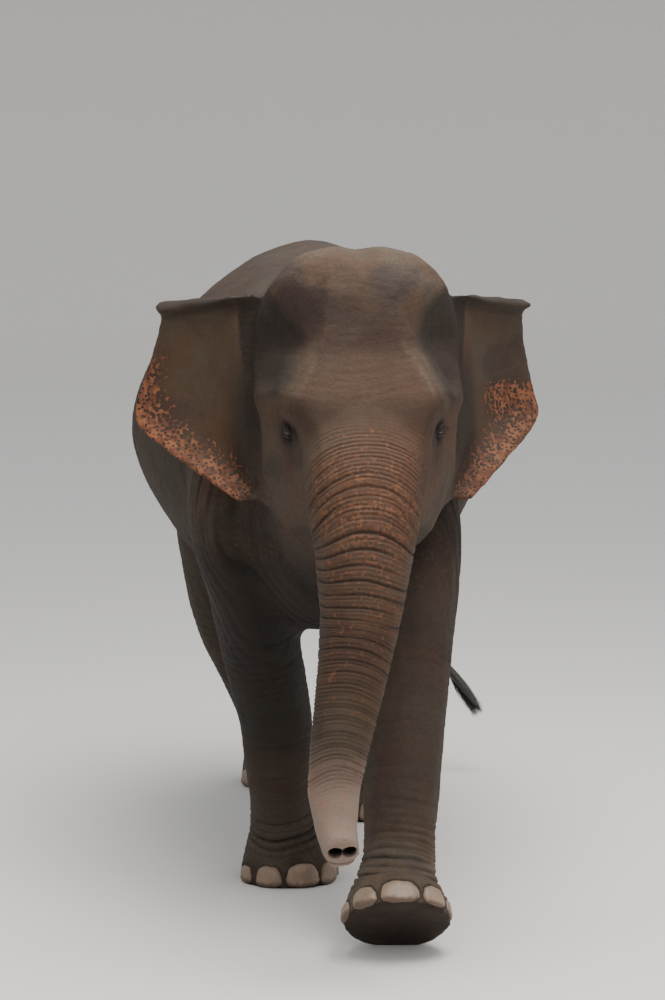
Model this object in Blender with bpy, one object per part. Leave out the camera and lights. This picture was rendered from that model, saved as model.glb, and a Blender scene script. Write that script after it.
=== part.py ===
"""A walking female Asian elephant, life size, as a still museum model in named parts.

The flesh is modelled whole: lofted limbs, trunk, neck and barrel, ears grown from sheets and a
head built of rounded masses are fused, relaxed and pressed into shape, and then parted with thin
cuts into head, jaw, neck, torso, legs, ears, trunk lengths and tail. Eyes, toenails and the tail
tuft are pieces of their own. Metres, +Z up, the animal faces -Y and its left side is +X.
"""

import math
from collections import namedtuple

import bmesh
import bpy
import numpy as np
from mathutils import Matrix, Vector

# ---- Driving dimensions, in metres
BACK_HEIGHT = 2.30  # top of the arched back, level with the domes of the head
BARREL_HALF_WIDTH = 0.67
TORSO_X = -0.03  # the barrel rolls a little towards the leg that carries it
HEAD_X = 0.057  # the head swings the other way
HEAD_Y = -0.06
HEAD_YAW = math.radians(1)
EYE_RADIUS = 0.021
EYE_PLACE = Vector((0.238, -0.547, 1.719))  # of the left eye, before the head is turned
SOLE_RADIUS = 0.178
EAR_THICKNESS = 0.024
EAR_CUT = {1: 0.063, -1: 0.078}  # from the root line to the cut that frees the ear

# ---- How finely it is made
VOXEL = 0.012  # the mesh that the fused flesh gets
BODY_TRIANGLES = 3400
GAP = 0.0008  # of each thin cut
CLEARANCE = 0.0008  # round eyes and toenails in their pockets
ROUND = 48  # corners of a loft's ring

Ring = namedtuple("Ring", "x y z half_width plus minus square", defaults=(2.0,))
# half_width is to either side. plus is the reach up on a piece that runs level, or to the front
# on one that hangs or stands, and minus the reach the other way. square is the exponent of the
# ring's superellipse: 2 is an ellipse, less is a keel and more is boxy.


def clear_scene():
    for obj in list(bpy.data.objects):
        bpy.data.objects.remove(obj)


def add_mesh(name, verts, faces):
    mesh = bpy.data.meshes.new(name)
    mesh.from_pydata([tuple(v) for v in verts], [], faces)
    mesh.update()
    obj = bpy.data.objects.new(name, mesh)
    bpy.context.scene.collection.objects.link(obj)
    return obj


def spline(rows, steps):
    """A smooth curve through the rows of a table, with that many steps between neighbours."""
    rows = np.array(rows, float)
    around = np.vstack([2 * rows[0] - rows[1], rows, 2 * rows[-1] - rows[-2]])
    found = []
    for a, b, c, d in zip(around, around[1:], around[2:], around[3:]):
        for t in np.arange(steps) / steps:
            bend = (2 * a - 5 * b + 4 * c - d) * t * t + (3 * b - a - 3 * c + d) * t**3
            found.append((2 * b + (c - a) * t + bend) / 2)
    return np.array(found + [rows[-1]])


def loft(name, rings, towards, steps=5, corners=ROUND):
    """A closed tube through the rings. towards is the direction that plus reaches in."""
    table = spline([tuple(r) for r in rings], steps)
    path = table[:, :3]
    tangent = np.gradient(path, axis=0)
    angles = np.linspace(0, 2 * math.pi, corners, endpoint=False)
    verts = []
    for place, along, row in zip(path, tangent, table):
        along = Vector(along).normalized()
        side = Vector((1, 0, 0)) - along * along.x
        side.normalize()
        up = along.cross(side)
        if up.dot(Vector(towards)) < 0:
            up = -up
        width, plus, minus, square = row[3:7]
        power = 2 / max(square, 1.2)
        for angle in angles:
            c, s = math.cos(angle), math.sin(angle)
            out = math.copysign(abs(c) ** power, c) * width
            reach = math.copysign(abs(s) ** power, s) * (plus if s > 0 else minus)
            verts.append(Vector(place) + side * out + up * reach)
    count = len(table)
    faces = skin_of_rings(count, corners)
    return outward(add_mesh(name, verts, faces))


def skin_of_rings(count, corners):
    """The faces of a closed tube of that many rings, with its two ends."""
    faces = [tuple(range(corners)), tuple(range((count - 1) * corners, count * corners))[::-1]]
    for ring in range(count - 1):
        for corner in range(corners):
            after = (corner + 1) % corners
            a, b = ring * corners, (ring + 1) * corners
            faces.append((a + corner, b + corner, b + after, a + after))
    return faces


def outward(obj):
    """Turns all faces of a closed mesh to face out."""
    shape = bmesh.new()
    shape.from_mesh(obj.data)
    bmesh.ops.recalc_face_normals(shape, faces=shape.faces)
    if shape.calc_volume(signed=True) < 0:
        bmesh.ops.reverse_faces(shape, faces=shape.faces)
    shape.to_mesh(obj.data)
    shape.free()
    return obj


def blob(name, centre, radii, tilt=(0, 0, 0), segments=24, rings=16):
    """An ellipsoid, turned about its centre by tilt in degrees."""
    shape = bmesh.new()
    bmesh.ops.create_uvsphere(shape, u_segments=segments, v_segments=rings, radius=1)
    turn = Matrix.Rotation(math.radians(tilt[2]), 4, "Z")
    turn @= Matrix.Rotation(math.radians(tilt[1]), 4, "Y")
    turn @= Matrix.Rotation(math.radians(tilt[0]), 4, "X")
    shape.transform(Matrix.Translation(centre) @ turn @ Matrix.Diagonal((*radii, 1)))
    mesh = bpy.data.meshes.new(name)
    shape.to_mesh(mesh)
    shape.free()
    obj = bpy.data.objects.new(name, mesh)
    bpy.context.scene.collection.objects.link(obj)
    return obj


def both_sides(make, *args):
    """make(side, ...) for the left side, +1, and the right side, -1."""
    return [make(side, *args) for side in (1, -1)]


# ---- The barrel and the neck, which run level


def barrel():
    rings = [
        Ring(0, -0.26, 1.60, 0.22, 0.40, 0.42, 2.0),
        Ring(0, -0.12, 1.57, 0.32, 0.51, 0.54, 1.9),
        Ring(0, 0.08, 1.55, 0.45, 0.59, 0.60, 1.8),
        Ring(0, 0.32, 1.56, 0.56, 0.64, 0.64, 1.75),
        Ring(0, 0.62, 1.58, 0.64, 0.69, 0.67, 1.65),
        Ring(0, 0.92, 1.59, BARREL_HALF_WIDTH, BACK_HEIGHT - 1.59, 0.67, 1.64),
        Ring(0, 1.22, 1.60, 0.64, 0.65, 0.63, 1.66),
        Ring(0, 1.50, 1.60, 0.55, 0.52, 0.53, 1.75),
        Ring(0, 1.74, 1.57, 0.42, 0.40, 0.40, 1.9),
        Ring(0, 1.92, 1.52, 0.27, 0.24, 0.26, 2.0),
        Ring(0, 2.00, 1.50, 0.14, 0.12, 0.14, 2.0),
    ]
    rings = [r._replace(x=TORSO_X) for r in rings]
    return loft("barrel", rings, (0, 0, 1))


def neck_flesh():
    rings = [
        Ring(HEAD_X, -0.52, 1.72, 0.22, 0.36, 0.34),
        Ring(HEAD_X, -0.36, 1.68, 0.28, 0.42, 0.46),
        Ring(0.02, -0.20, 1.63, 0.305, 0.45, 0.50),
        Ring(0.00, -0.02, 1.58, 0.36, 0.50, 0.52),
        Ring(TORSO_X, 0.15, 1.55, 0.42, 0.55, 0.52),
    ]
    return loft("neck_flesh", rings, (0, 0, 1))


# ---- The legs. Each table runs from the body down to the sole

FRONT_RIGHT = [
    Ring(-0.27, 0.00, 1.86, 0.10, 0.15, 0.17),
    Ring(-0.315, 0.03, 1.62, 0.150, 0.18, 0.24),
    Ring(-0.340, 0.06, 1.36, 0.160, 0.21, 0.26),
    Ring(-0.280, 0.12, 1.10, 0.150, 0.205, 0.25),
    Ring(-0.235, 0.20, 0.86, 0.145, 0.165, 0.185),
    Ring(-0.190, 0.26, 0.62, 0.130, 0.145, 0.150),
    Ring(-0.175, 0.30, 0.46, 0.124, 0.145, 0.130),
    Ring(-0.165, 0.345, 0.28, 0.114, 0.125, 0.125),
    Ring(-0.150, 0.375, 0.17, 0.138, 0.145, 0.140),
    Ring(-0.140, 0.39, 0.07, 0.168, 0.178, 0.168, 2.2),
    Ring(-0.137, 0.395, -0.015, SOLE_RADIUS, 0.19, 0.175, 2.3),
]

FRONT_LEFT = [
    Ring(0.20, -0.04, 1.86, 0.10, 0.17, 0.17),
    Ring(0.255, -0.03, 1.62, 0.145, 0.18, 0.23),
    Ring(0.282, -0.07, 1.36, 0.157, 0.20, 0.25),
    Ring(0.265, -0.14, 1.12, 0.160, 0.215, 0.235),
    Ring(0.240, -0.24, 0.88, 0.150, 0.170, 0.185),
    Ring(0.220, -0.36, 0.66, 0.135, 0.150, 0.150),
    Ring(0.205, -0.44, 0.50, 0.130, 0.150, 0.128),
    Ring(0.188, -0.525, 0.325, 0.122, 0.130, 0.122),
    Ring(0.178, -0.585, 0.235, 0.138, 0.145, 0.140),
    Ring(0.170, -0.645, 0.165, 0.168, 0.178, 0.168, 2.2),
    Ring(0.167, -0.700, 0.095, SOLE_RADIUS, 0.19, 0.175, 2.3),
]

HIND_RIGHT = [
    Ring(-0.26, 1.52, 1.86, 0.14, 0.22, 0.18),
    Ring(-0.30, 1.50, 1.60, 0.21, 0.33, 0.32),
    Ring(-0.33, 1.50, 1.32, 0.205, 0.31, 0.32),
    Ring(-0.335, 1.49, 1.06, 0.180, 0.26, 0.27),
    Ring(-0.315, 1.51, 0.82, 0.155, 0.19, 0.20),
    Ring(-0.250, 1.64, 0.60, 0.125, 0.155, 0.155),
    Ring(-0.195, 1.80, 0.42, 0.108, 0.120, 0.135),
    Ring(-0.150, 1.94, 0.26, 0.108, 0.115, 0.125),
    Ring(-0.125, 2.02, 0.15, 0.122, 0.140, 0.128),
    Ring(-0.112, 2.06, 0.06, 0.145, 0.185, 0.150, 2.2),
    Ring(-0.110, 2.07, -0.015, 0.152, 0.20, 0.155, 2.3),
]

HIND_LEFT = [
    Ring(0.20, 1.50, 1.86, 0.14, 0.22, 0.18),
    Ring(0.25, 1.47, 1.60, 0.21, 0.33, 0.32),
    Ring(0.28, 1.42, 1.32, 0.205, 0.31, 0.32),
    Ring(0.285, 1.37, 1.06, 0.180, 0.26, 0.27),
    Ring(0.270, 1.33, 0.82, 0.155, 0.19, 0.20),
    Ring(0.235, 1.37, 0.60, 0.128, 0.150, 0.165),
    Ring(0.205, 1.44, 0.42, 0.112, 0.120, 0.145),
    Ring(0.190, 1.46, 0.26, 0.110, 0.118, 0.122),
    Ring(0.182, 1.455, 0.15, 0.124, 0.140, 0.128),
    Ring(0.178, 1.45, 0.06, 0.145, 0.185, 0.150, 2.2),
    Ring(0.176, 1.45, -0.015, 0.152, 0.20, 0.155, 2.3),
]

LEGS = {
    "leg_front_left": FRONT_LEFT,
    "leg_front_right": FRONT_RIGHT,
    "leg_hind_left": HIND_LEFT,
    "leg_hind_right": HIND_RIGHT,
}


def leg_flesh(name):
    return loft(name + "_flesh", LEGS[name], (0, -1, 0))


# ---- The trunk, which hangs and curls a little forward at its end

TRUNK = [
    Ring(0.057, -0.66, 1.78, 0.17, 0.12, 0.12, 2.1),
    Ring(0.057, -0.73, 1.66, 0.195, 0.14, 0.17, 2.2),
    Ring(0.053, -0.81, 1.50, 0.188, 0.155, 0.185, 2.1),
    Ring(0.046, -0.87, 1.34, 0.158, 0.148, 0.150, 2.1),
    Ring(0.034, -0.91, 1.18, 0.136, 0.132, 0.140, 2.1),
    Ring(0.012, -0.935, 1.02, 0.119, 0.116, 0.120, 2.1),
    Ring(-0.012, -0.95, 0.88, 0.107, 0.104, 0.108, 2.1),
    Ring(-0.038, -0.955, 0.74, 0.097, 0.094, 0.096, 2.1),
    Ring(-0.054, -0.965, 0.61, 0.086, 0.082, 0.084, 2.1),
    Ring(-0.051, -0.995, 0.522, 0.074, 0.068, 0.072, 2.1),
    Ring(-0.043, -1.045, 0.464, 0.064, 0.056, 0.067, 2.1),
    Ring(-0.036, -1.095, 0.438, 0.057, 0.047, 0.069, 2.1),
]


TRUNK_END = Vector((-0.036, -1.098, 0.436))
NOSTRIL_RADII = (0.0190, 0.060, 0.0155)
NOSTRIL_APART = 0.046


def trunk_flesh():
    return loft("trunk_flesh", TRUNK, (0, -1, 0))


def nostril(side):
    """What the nostril of one side cuts out of the trunk's end."""
    place = TRUNK_END + Vector((side * NOSTRIL_APART / 2, 0, 0.003))
    return blob("nostril", place, NOSTRIL_RADII, (21, 0, -4 * side), 10, 8)


# ---- The head, stacked from level outlines, symmetric, before it is turned and set on the neck

Level = namedtuple("Level", "z front ridge ridge_y hollow hollow_y side side_y back")
# front and back are where the outline crosses the middle. ridge, hollow and side are half
# widths: of the flat front of the face, of the temple or eye behind its edge, and at the widest.
HEAD = [
    Level(2.305, -0.400, 0.045, -0.385, 0.085, -0.350, 0.100, -0.320, -0.26),
    Level(2.275, -0.490, 0.110, -0.465, 0.180, -0.400, 0.205, -0.330, -0.20),
    Level(2.190, -0.560, 0.150, -0.525, 0.240, -0.425, 0.290, -0.310, -0.13),
    Level(2.090, -0.600, 0.145, -0.565, 0.220, -0.445, 0.335, -0.280, -0.09),
    Level(1.990, -0.625, 0.162, -0.588, 0.215, -0.445, 0.350, -0.250, -0.07),
    Level(1.910, -0.665, 0.212, -0.608, 0.258, -0.475, 0.348, -0.270, -0.06),
    Level(1.830, -0.712, 0.250, -0.640, 0.290, -0.515, 0.345, -0.350, -0.06),
    Level(1.740, -0.755, 0.216, -0.668, 0.245, -0.560, 0.330, -0.380, -0.06),
    Level(1.640, -0.795, 0.202, -0.700, 0.234, -0.575, 0.322, -0.370, -0.07),
    Level(1.540, -0.825, 0.182, -0.740, 0.205, -0.600, 0.305, -0.350, -0.08),
    Level(1.440, -0.830, 0.150, -0.750, 0.180, -0.600, 0.280, -0.340, -0.10),
    Level(1.370, -0.700, 0.120, -0.660, 0.165, -0.540, 0.250, -0.340, -0.14),
    Level(1.310, -0.560, 0.080, -0.530, 0.120, -0.470, 0.195, -0.330, -0.18),
]


def head_stack(steps=5, corners=72):
    table = spline([tuple(level) for level in HEAD], steps)
    verts = []
    for z, front, ridge, ridge_y, hollow, hollow_y, side, side_y, back in table:
        half = [
            (ridge * 0.70, front + 0.22 * (ridge_y - front)),
            (ridge, ridge_y),
            (hollow, hollow_y),
            (side, side_y),
            (side * 0.70, back + 0.25 * (side_y - back)),
        ]
        loop = [(0, front)] + half + [(0, back)] + [(-x, y) for x, y in reversed(half)]
        curve = spline(loop[-1:] + loop + loop[:2], 8)[8:-8]
        stops = np.linspace(0, len(curve) - 1, corners, endpoint=False)
        for axis_x, axis_y in zip(
            np.interp(stops, range(len(curve)), curve[:, 0]),
            np.interp(stops, range(len(curve)), curve[:, 1]),
        ):
            verts.append((axis_x, axis_y, z))
    return outward(add_mesh("head_stack", verts, skin_of_rings(len(table), corners)))


def jaw_flesh():
    rings = [
        Ring(0, -0.24, 1.42, 0.20, 0.12, 0.14),
        Ring(0, -0.38, 1.345, 0.175, 0.11, 0.115),
        Ring(0, -0.48, 1.285, 0.125, 0.085, 0.085),
        Ring(0, -0.56, 1.235, 0.075, 0.055, 0.055),
        Ring(0, -0.605, 1.205, 0.030, 0.028, 0.026),
    ]
    return loft("jaw_flesh", rings, (0, 0, 1))


# ---- The ears: a sheet that leaves the head sideways and back, folded forward along its top

EAR_ROOT_TOP = Vector((0.335, -0.215, 2.120))
EAR_ROOT_LOW = Vector((0.297, -0.325, 1.43))
EAR_FOLD_RADIUS = 0.024
EAR_FOLD_LENGTH = 0.095
# How far the ear reaches outward, from its top edge down to the tip of its lobe
EAR_REACH = [0.345, 0.37, 0.40, 0.43, 0.46, 0.485, 0.495, 0.42, 0.30, 0.19, 0.08]
EAR_SWEEP = {1: math.radians(50), -1: math.radians(36)}


def ear_sheet(side, columns=14, rows=26):
    """Points of the ear by row, from the fold's rim down to the lobe, and outward by column."""
    sweep = EAR_SWEEP[side]
    outward_way = Vector((side * math.cos(sweep), math.sin(sweep), 0))
    front = Vector((side * math.sin(sweep), -math.cos(sweep), 0))
    root_length = (EAR_ROOT_TOP - EAR_ROOT_LOW).length
    reach = spline([[r] for r in EAR_REACH], 10)[:, 0]
    verts = []
    for row in range(rows):
        down = row / (rows - 1) * (root_length + EAR_FOLD_LENGTH) - EAR_FOLD_LENGTH
        share = max(down, 0) / root_length
        root = EAR_ROOT_TOP.lerp(EAR_ROOT_LOW, share)
        root = Vector((root.x * side, root.y, root.z))
        width = np.interp(share, np.linspace(0, 1, len(reach)), reach)
        for column in range(columns):
            out = column / (columns - 1)
            curl = max(-down, 0) / EAR_FOLD_RADIUS * min(1, 0.35 + out)
            lift = EAR_FOLD_RADIUS * math.sin(min(curl, math.pi))
            forward = EAR_FOLD_RADIUS * (1 - math.cos(min(curl, math.pi)))
            lift -= max(curl - math.pi, 0) * EAR_FOLD_RADIUS
            place = root + outward_way * (width * out - 0.06 * (1 - out))
            cup = 0.040 * math.sin(math.pi * max(0, out - 0.3) / 0.7) - 0.05 * out**3
            ripple = 0.014 * math.sin(7 * share + 2.5 * out) * out
            droop = -0.03 * out * (1 - share) + 0.03 * out * share
            place += front * (forward - cup + ripple)
            place.z += lift + droop
            verts.append(place)
    return verts, rows, columns


def ear_flesh(side):
    verts, rows, columns = ear_sheet(side)
    faces = []
    for row in range(rows - 1):
        for column in range(columns - 1):
            a = row * columns + column
            faces.append((a, a + 1, a + columns + 1, a + columns))
    ear = add_mesh("ear_flesh", verts, faces)
    solid = ear.modifiers.new("thickness", "SOLIDIFY")
    solid.thickness = EAR_THICKNESS
    solid.offset = 0
    return outward(applied(ear))


# ---- The tail swings out to the left

TAIL = [
    Ring(-0.03, 1.90, 1.66, 0.075, 0.075, 0.07),
    Ring(-0.025, 2.02, 1.585, 0.060, 0.060, 0.055),
    Ring(0.01, 2.10, 1.42, 0.045, 0.045, 0.045),
    Ring(0.10, 2.15, 1.18, 0.034, 0.034, 0.034),
    Ring(0.25, 2.17, 0.92, 0.027, 0.027, 0.027),
    Ring(0.43, 2.16, 0.68, 0.022, 0.022, 0.022),
    Ring(0.60, 2.14, 0.475, 0.019, 0.021, 0.021),
]
TAIL_ROOT = 4  # so many of its rings are fused with the rump
TAIL_CUT = Vector((0.022, 2.108, 1.385))
TAIL_WAY = Vector((0.30, 0.24, -0.92))  # the direction in which it leaves
TUFT = [
    Ring(0.570, 2.142, 0.512, 0.018, 0.020, 0.020),
    Ring(0.600, 2.14, 0.475, 0.021, 0.025, 0.025),
    Ring(0.640, 2.135, 0.43, 0.026, 0.036, 0.036),
    Ring(0.687, 2.13, 0.37, 0.027, 0.042, 0.042),
    Ring(0.728, 2.125, 0.31, 0.019, 0.030, 0.030),
    Ring(0.752, 2.12, 0.275, 0.008, 0.012, 0.012),
]
TUFT_CUT = Vector((0.590, 2.141, 0.487))
TUFT_WAY = Vector((0.60, -0.03, -0.80))


# ---- Fusing, relaxing and pressing the flesh into shape


def applied(obj):
    """The object with its modifiers made real."""
    bpy.context.view_layer.update()
    graph = bpy.context.evaluated_depsgraph_get()
    mesh = bpy.data.meshes.new_from_object(obj.evaluated_get(graph), depsgraph=graph)
    obj.modifiers.clear()
    obj.data = mesh
    return obj


def joined(name, objects):
    """One object with the meshes of all of these."""
    whole = bmesh.new()
    for obj in objects:
        whole.from_mesh(obj.data)
        bpy.data.objects.remove(obj)
    mesh = bpy.data.meshes.new(name)
    whole.to_mesh(mesh)
    whole.free()
    obj = bpy.data.objects.new(name, mesh)
    bpy.context.scene.collection.objects.link(obj)
    return obj


def fused(name, objects, voxel=VOXEL):
    obj = joined(name, objects)
    remesh = obj.modifiers.new("fuse", "REMESH")
    remesh.mode = "VOXEL"
    remesh.voxel_size = voxel
    return applied(obj)


def read_points(obj):
    points = np.empty(len(obj.data.vertices) * 3)
    obj.data.vertices.foreach_get("co", points)
    return points.reshape(-1, 3)


def read_normals(obj):
    normals = np.empty(len(obj.data.vertices) * 3)
    obj.data.vertices.foreach_get("normal", normals)
    return normals.reshape(-1, 3)


def write_points(obj, points):
    obj.data.vertices.foreach_set("co", points.ravel())
    obj.data.update()


def relax(obj, freedom, rounds):
    """Taubin smoothing, which softens creases without shrinking. freedom is 0 to 1 a point."""
    edges = np.empty(len(obj.data.edges) * 2, int)
    obj.data.edges.foreach_get("vertices", edges)
    a, b = edges.reshape(-1, 2).T
    points = read_points(obj)
    count = np.bincount(np.r_[a, b], minlength=len(points))[:, None]
    for turn in range(2 * rounds):
        step = 0.50 if turn % 2 == 0 else -0.515
        near = np.zeros_like(points)
        for axis in range(3):
            ends = np.r_[points[b, axis], points[a, axis]]
            near[:, axis] = np.bincount(np.r_[a, b], ends, len(points))
        points += step * freedom[:, None] * (near / count - points)
    write_points(obj, points)


def falloff(points, centre, reach):
    """1 at centre, falling smoothly to 0 at that reach along each axis."""
    away = ((points - np.array(centre)) / np.array(reach)) ** 2
    return np.clip(1 - away.sum(axis=1), 0, 1) ** 2


def press(obj, centre, reach, depth):
    """Pushes the surface in by depth round centre, or out if depth is below 0."""
    points = read_points(obj)
    points -= read_normals(obj) * (depth * falloff(points, centre, reach))[:, None]
    write_points(obj, points)


def fade(values, start, end):
    """0 before start, 1 after end, smooth between."""
    t = np.clip((values - start) / (end - start), 0, 1)
    return t * t * (3 - 2 * t)


def shaped_head():
    """The head with its hollows and ridges, still symmetric."""
    head = fused("head_flesh", [head_stack(), jaw_flesh()], 0.012)
    points = read_points(head)
    relax(head, np.full(len(points), 0.9), 24)
    for side in (1, -1):
        press(head, (0.240 * side, -0.587, 1.722), (0.05, 0.06, 0.045), 0.020)  # eye socket
        press(head, (0.250 * side, -0.560, 1.782), (0.06, 0.09, 0.035), -0.012)  # brow
        press(head, (0.240 * side, -0.580, 1.747), (0.06, 0.055, 0.018), -0.011)  # upper lid
        press(head, (0.240 * side, -0.587, 1.694), (0.06, 0.055, 0.016), -0.009)  # lower lid
        press(head, (0.222 * side, -0.655, 1.680), (0.05, 0.045, 0.055), 0.010)  # before the eye
        press(head, (0.310 * side, -0.45, 1.885), (0.09, 0.10, 0.075), 0.016)  # lower temple
        press(head, (0.335 * side, -0.34, 1.800), (0.06, 0.09, 0.055), -0.010)  # cheek bone
        press(head, (0.310 * side, -0.32, 1.560), (0.09, 0.13, 0.130), -0.016)  # jowl
        press(head, (0.240 * side, -0.62, 1.600), (0.07, 0.07, 0.120), 0.010)  # beside the trunk
        press(head, (0.19 * side, -0.56, 1.355), (0.12, 0.20, 0.05), 0.020)  # corner of the mouth
    press(head, (0, -0.40, 2.31), (0.06, 0.30, 0.14), 0.014)  # furrow between the domes
    relax(head, np.full(len(points), 0.8), 3)
    return head


def set_on_neck(obj):
    pivot = Vector((0, -0.15, 0))
    place = Matrix.Translation(Vector((HEAD_X, HEAD_Y, 0)) + pivot)
    place @= Matrix.Rotation(HEAD_YAW, 4, "Z") @ Matrix.Translation(-pivot)
    obj.data.transform(place)
    return obj


def whole_animal():
    """All the flesh as one closed surface."""
    pieces = [set_on_neck(shaped_head()), barrel(), neck_flesh(), trunk_flesh()]
    pieces += [leg_flesh(name) for name in LEGS]
    pieces += [set_on_neck(ear) for ear in both_sides(ear_flesh)]
    pieces.append(loft("tail_root", TAIL[:TAIL_ROOT], (0, 1, 0)))
    body = fused("body", pieces)
    points = read_points(body)
    x, y, z = points.T
    # Broad masses relax freely. Feet, trunk, ears and tail keep their edges.
    freedom = 0.15 + 0.75 * fade(z, 0.55, 1.0) * fade(y, -0.62, -0.30)
    from_centre = np.abs(x - HEAD_X)
    ear_zone = fade(from_centre, 0.36, 0.42) * fade(-y, -0.10, 0.0) * fade(z, 1.25, 1.35)
    freedom *= 1 - 0.95 * ear_zone
    freedom *= 1 - fade(y, 1.99, 2.06)
    freedom = np.maximum(freedom, 0.35 * ear_zone)
    relax(body, freedom, 60)
    hips = [((-0.33, 1.28, 1.98), -0.022), ((0.27, 1.28, 1.98), -0.022)]
    blades = [((-0.40, -0.02, 1.72), -0.014), ((0.34, -0.04, 1.72), -0.014)]
    for place, depth in hips + blades:
        press(body, place, (0.15, 0.16, 0.18), depth)
    finger = TRUNK_END + Vector((0, -0.005, 0.048))
    press(body, finger, (0.030, 0.040, 0.028), -0.012)
    return body


# ---- Parting the whole into named nodes

Cut = namedtuple("Cut", "x y z lean half_x half_reach")
# A thin slab through (x, y, z) that spans the X axis. lean turns it about X: 0 is level, +90 is
# upright, and in between its front edge is the lower one.
CUTS = [
    ("head from neck", Cut(0.03, -0.232, 1.85, 85, 0.385, 0.40)),
    ("throat", Cut(0.06, -0.352, 1.33, 62, 0.43, 0.195)),
    ("trunk", Cut(0.054, -0.835, 1.437, -12, 0.26, 0.195)),
    ("jaw", Cut(0.057, -0.508, 1.352, 2, 0.42, 0.188)),
    ("lip from trunk", Cut(0.057, -0.689, 1.29, 82, 0.20, 0.135)),
    ("trunk", Cut(0.026, -0.925, 1.10, -3, 0.20, 0.20)),
    ("trunk", Cut(-0.038, -0.955, 0.75, 0, 0.16, 0.16)),
    ("neck from torso", Cut(-0.02, -0.110, 1.79, 90, 0.54, 0.46)),
    ("chest", Cut(-0.02, -0.285, 1.245, 28, 0.54, 0.198)),
    ("leg_front_left", Cut(0.245, -0.210, 0.935, 0, 0.235, 0.245)),
    ("leg_front_right", Cut(-0.245, 0.190, 0.875, 0, 0.21, 0.24)),
    ("leg_hind_left", Cut(0.275, 1.345, 0.905, 0, 0.235, 0.255)),
    ("leg_hind_right", Cut(-0.320, 1.510, 0.915, 0, 0.235, 0.245)),
    ("foot_front_left", Cut(0.182, -0.565, 0.262, -34, 0.19, 0.19)),
    ("foot_front_right", Cut(-0.155, 0.365, 0.205, 0, 0.19, 0.19)),
    ("foot_hind_left", Cut(0.185, 1.458, 0.185, 0, 0.18, 0.18)),
    ("foot_hind_right", Cut(-0.135, 1.985, 0.200, 20, 0.18, 0.19)),
]

CHIP = 30  # a piece of fewer faces is a crumb from where two cuts cross

# About the middle of each node of flesh, by which the parted pieces are named.
MIDDLES = {
    "head": (0.05, -0.59, 1.83),
    "jaw": (0.05, -0.51, 1.27),
    "neck": (0.00, -0.27, 1.69),
    "torso": (-0.03, 0.90, 1.55),
    "ear_left": (0.55, -0.16, 1.80),
    "ear_right": (-0.49, -0.23, 1.80),
    "trunk_upper": (0.035, -0.90, 1.25),
    "trunk_middle": (-0.01, -0.94, 0.92),
    "trunk_tip": (-0.045, -0.97, 0.60),
    "leg_front_left": (0.22, -0.36, 0.66),
    "leg_front_right": (-0.19, 0.26, 0.60),
    "leg_hind_left": (0.24, 1.37, 0.60),
    "leg_hind_right": (-0.24, 1.66, 0.60),
    "foot_front_left": (0.17, -0.64, 0.15),
    "foot_front_right": (-0.14, 0.385, 0.08),
    "foot_hind_left": (0.18, 1.45, 0.08),
    "foot_hind_right": (-0.115, 2.05, 0.08),
}


def slab(centre, normal, along, half_along, half_other):
    """A box as thin as a cut: normal to it, and along one of its sides."""
    normal = Vector(normal).normalized()
    along = Vector(along).normalized()
    other = normal.cross(along)
    shape = bmesh.new()
    bmesh.ops.create_cube(shape, size=1)
    sizes = Matrix.Diagonal((2 * half_along, 2 * half_other, GAP, 1))
    turn = Matrix((along, other, normal)).transposed().to_4x4()
    shape.transform(Matrix.Translation(centre) @ turn @ sizes)
    mesh = bpy.data.meshes.new("slab")
    shape.to_mesh(mesh)
    shape.free()
    obj = bpy.data.objects.new("slab", mesh)
    bpy.context.scene.collection.objects.link(obj)
    return outward(obj)


def without(obj, cutter):
    """The object less the cutter, which is used up."""
    cut = obj.modifiers.new("cut", "BOOLEAN")
    cut.operation = "DIFFERENCE"
    cut.solver = "EXACT"
    cut.object = cutter
    applied(obj)
    bpy.data.objects.remove(cutter)
    return obj


def decimated(obj, triangles, importance, strength=0.012):
    """Fewer faces, more of them where importance (0 to 1 a point) is high."""
    group = obj.vertex_groups.new(name="free")
    bins = np.round((1 - importance) * 10).astype(int)
    for value in range(11):
        members = np.nonzero(bins == value)[0].tolist()
        if members:
            group.add(members, value / 10, "REPLACE")
    faces = sum(len(p.vertices) - 2 for p in obj.data.polygons)
    fewer = obj.modifiers.new("fewer", "DECIMATE")
    fewer.ratio = triangles / faces
    fewer.vertex_group = "free"
    fewer.vertex_group_factor = strength
    fewer.use_collapse_triangulate = True
    applied(obj)
    obj.vertex_groups.clear()
    return obj


def flat_below(obj, height=0.0):
    """Cuts off all that lies under a height and closes the cut with flat faces."""
    shape = bmesh.new()
    shape.from_mesh(obj.data)
    geometry = shape.verts[:] + shape.edges[:] + shape.faces[:]
    cut = bmesh.ops.bisect_plane(
        shape, geom=geometry, plane_co=(0, 0, height), plane_no=(0, 0, 1), clear_inner=True
    )
    edges = [e for e in cut["geom_cut"] if isinstance(e, bmesh.types.BMEdge)]
    made = bmesh.ops.holes_fill(shape, edges=edges, sides=0)
    bmesh.ops.triangulate(shape, faces=made["faces"])
    shape.to_mesh(obj.data)
    shape.free()
    return outward(obj)


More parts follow.
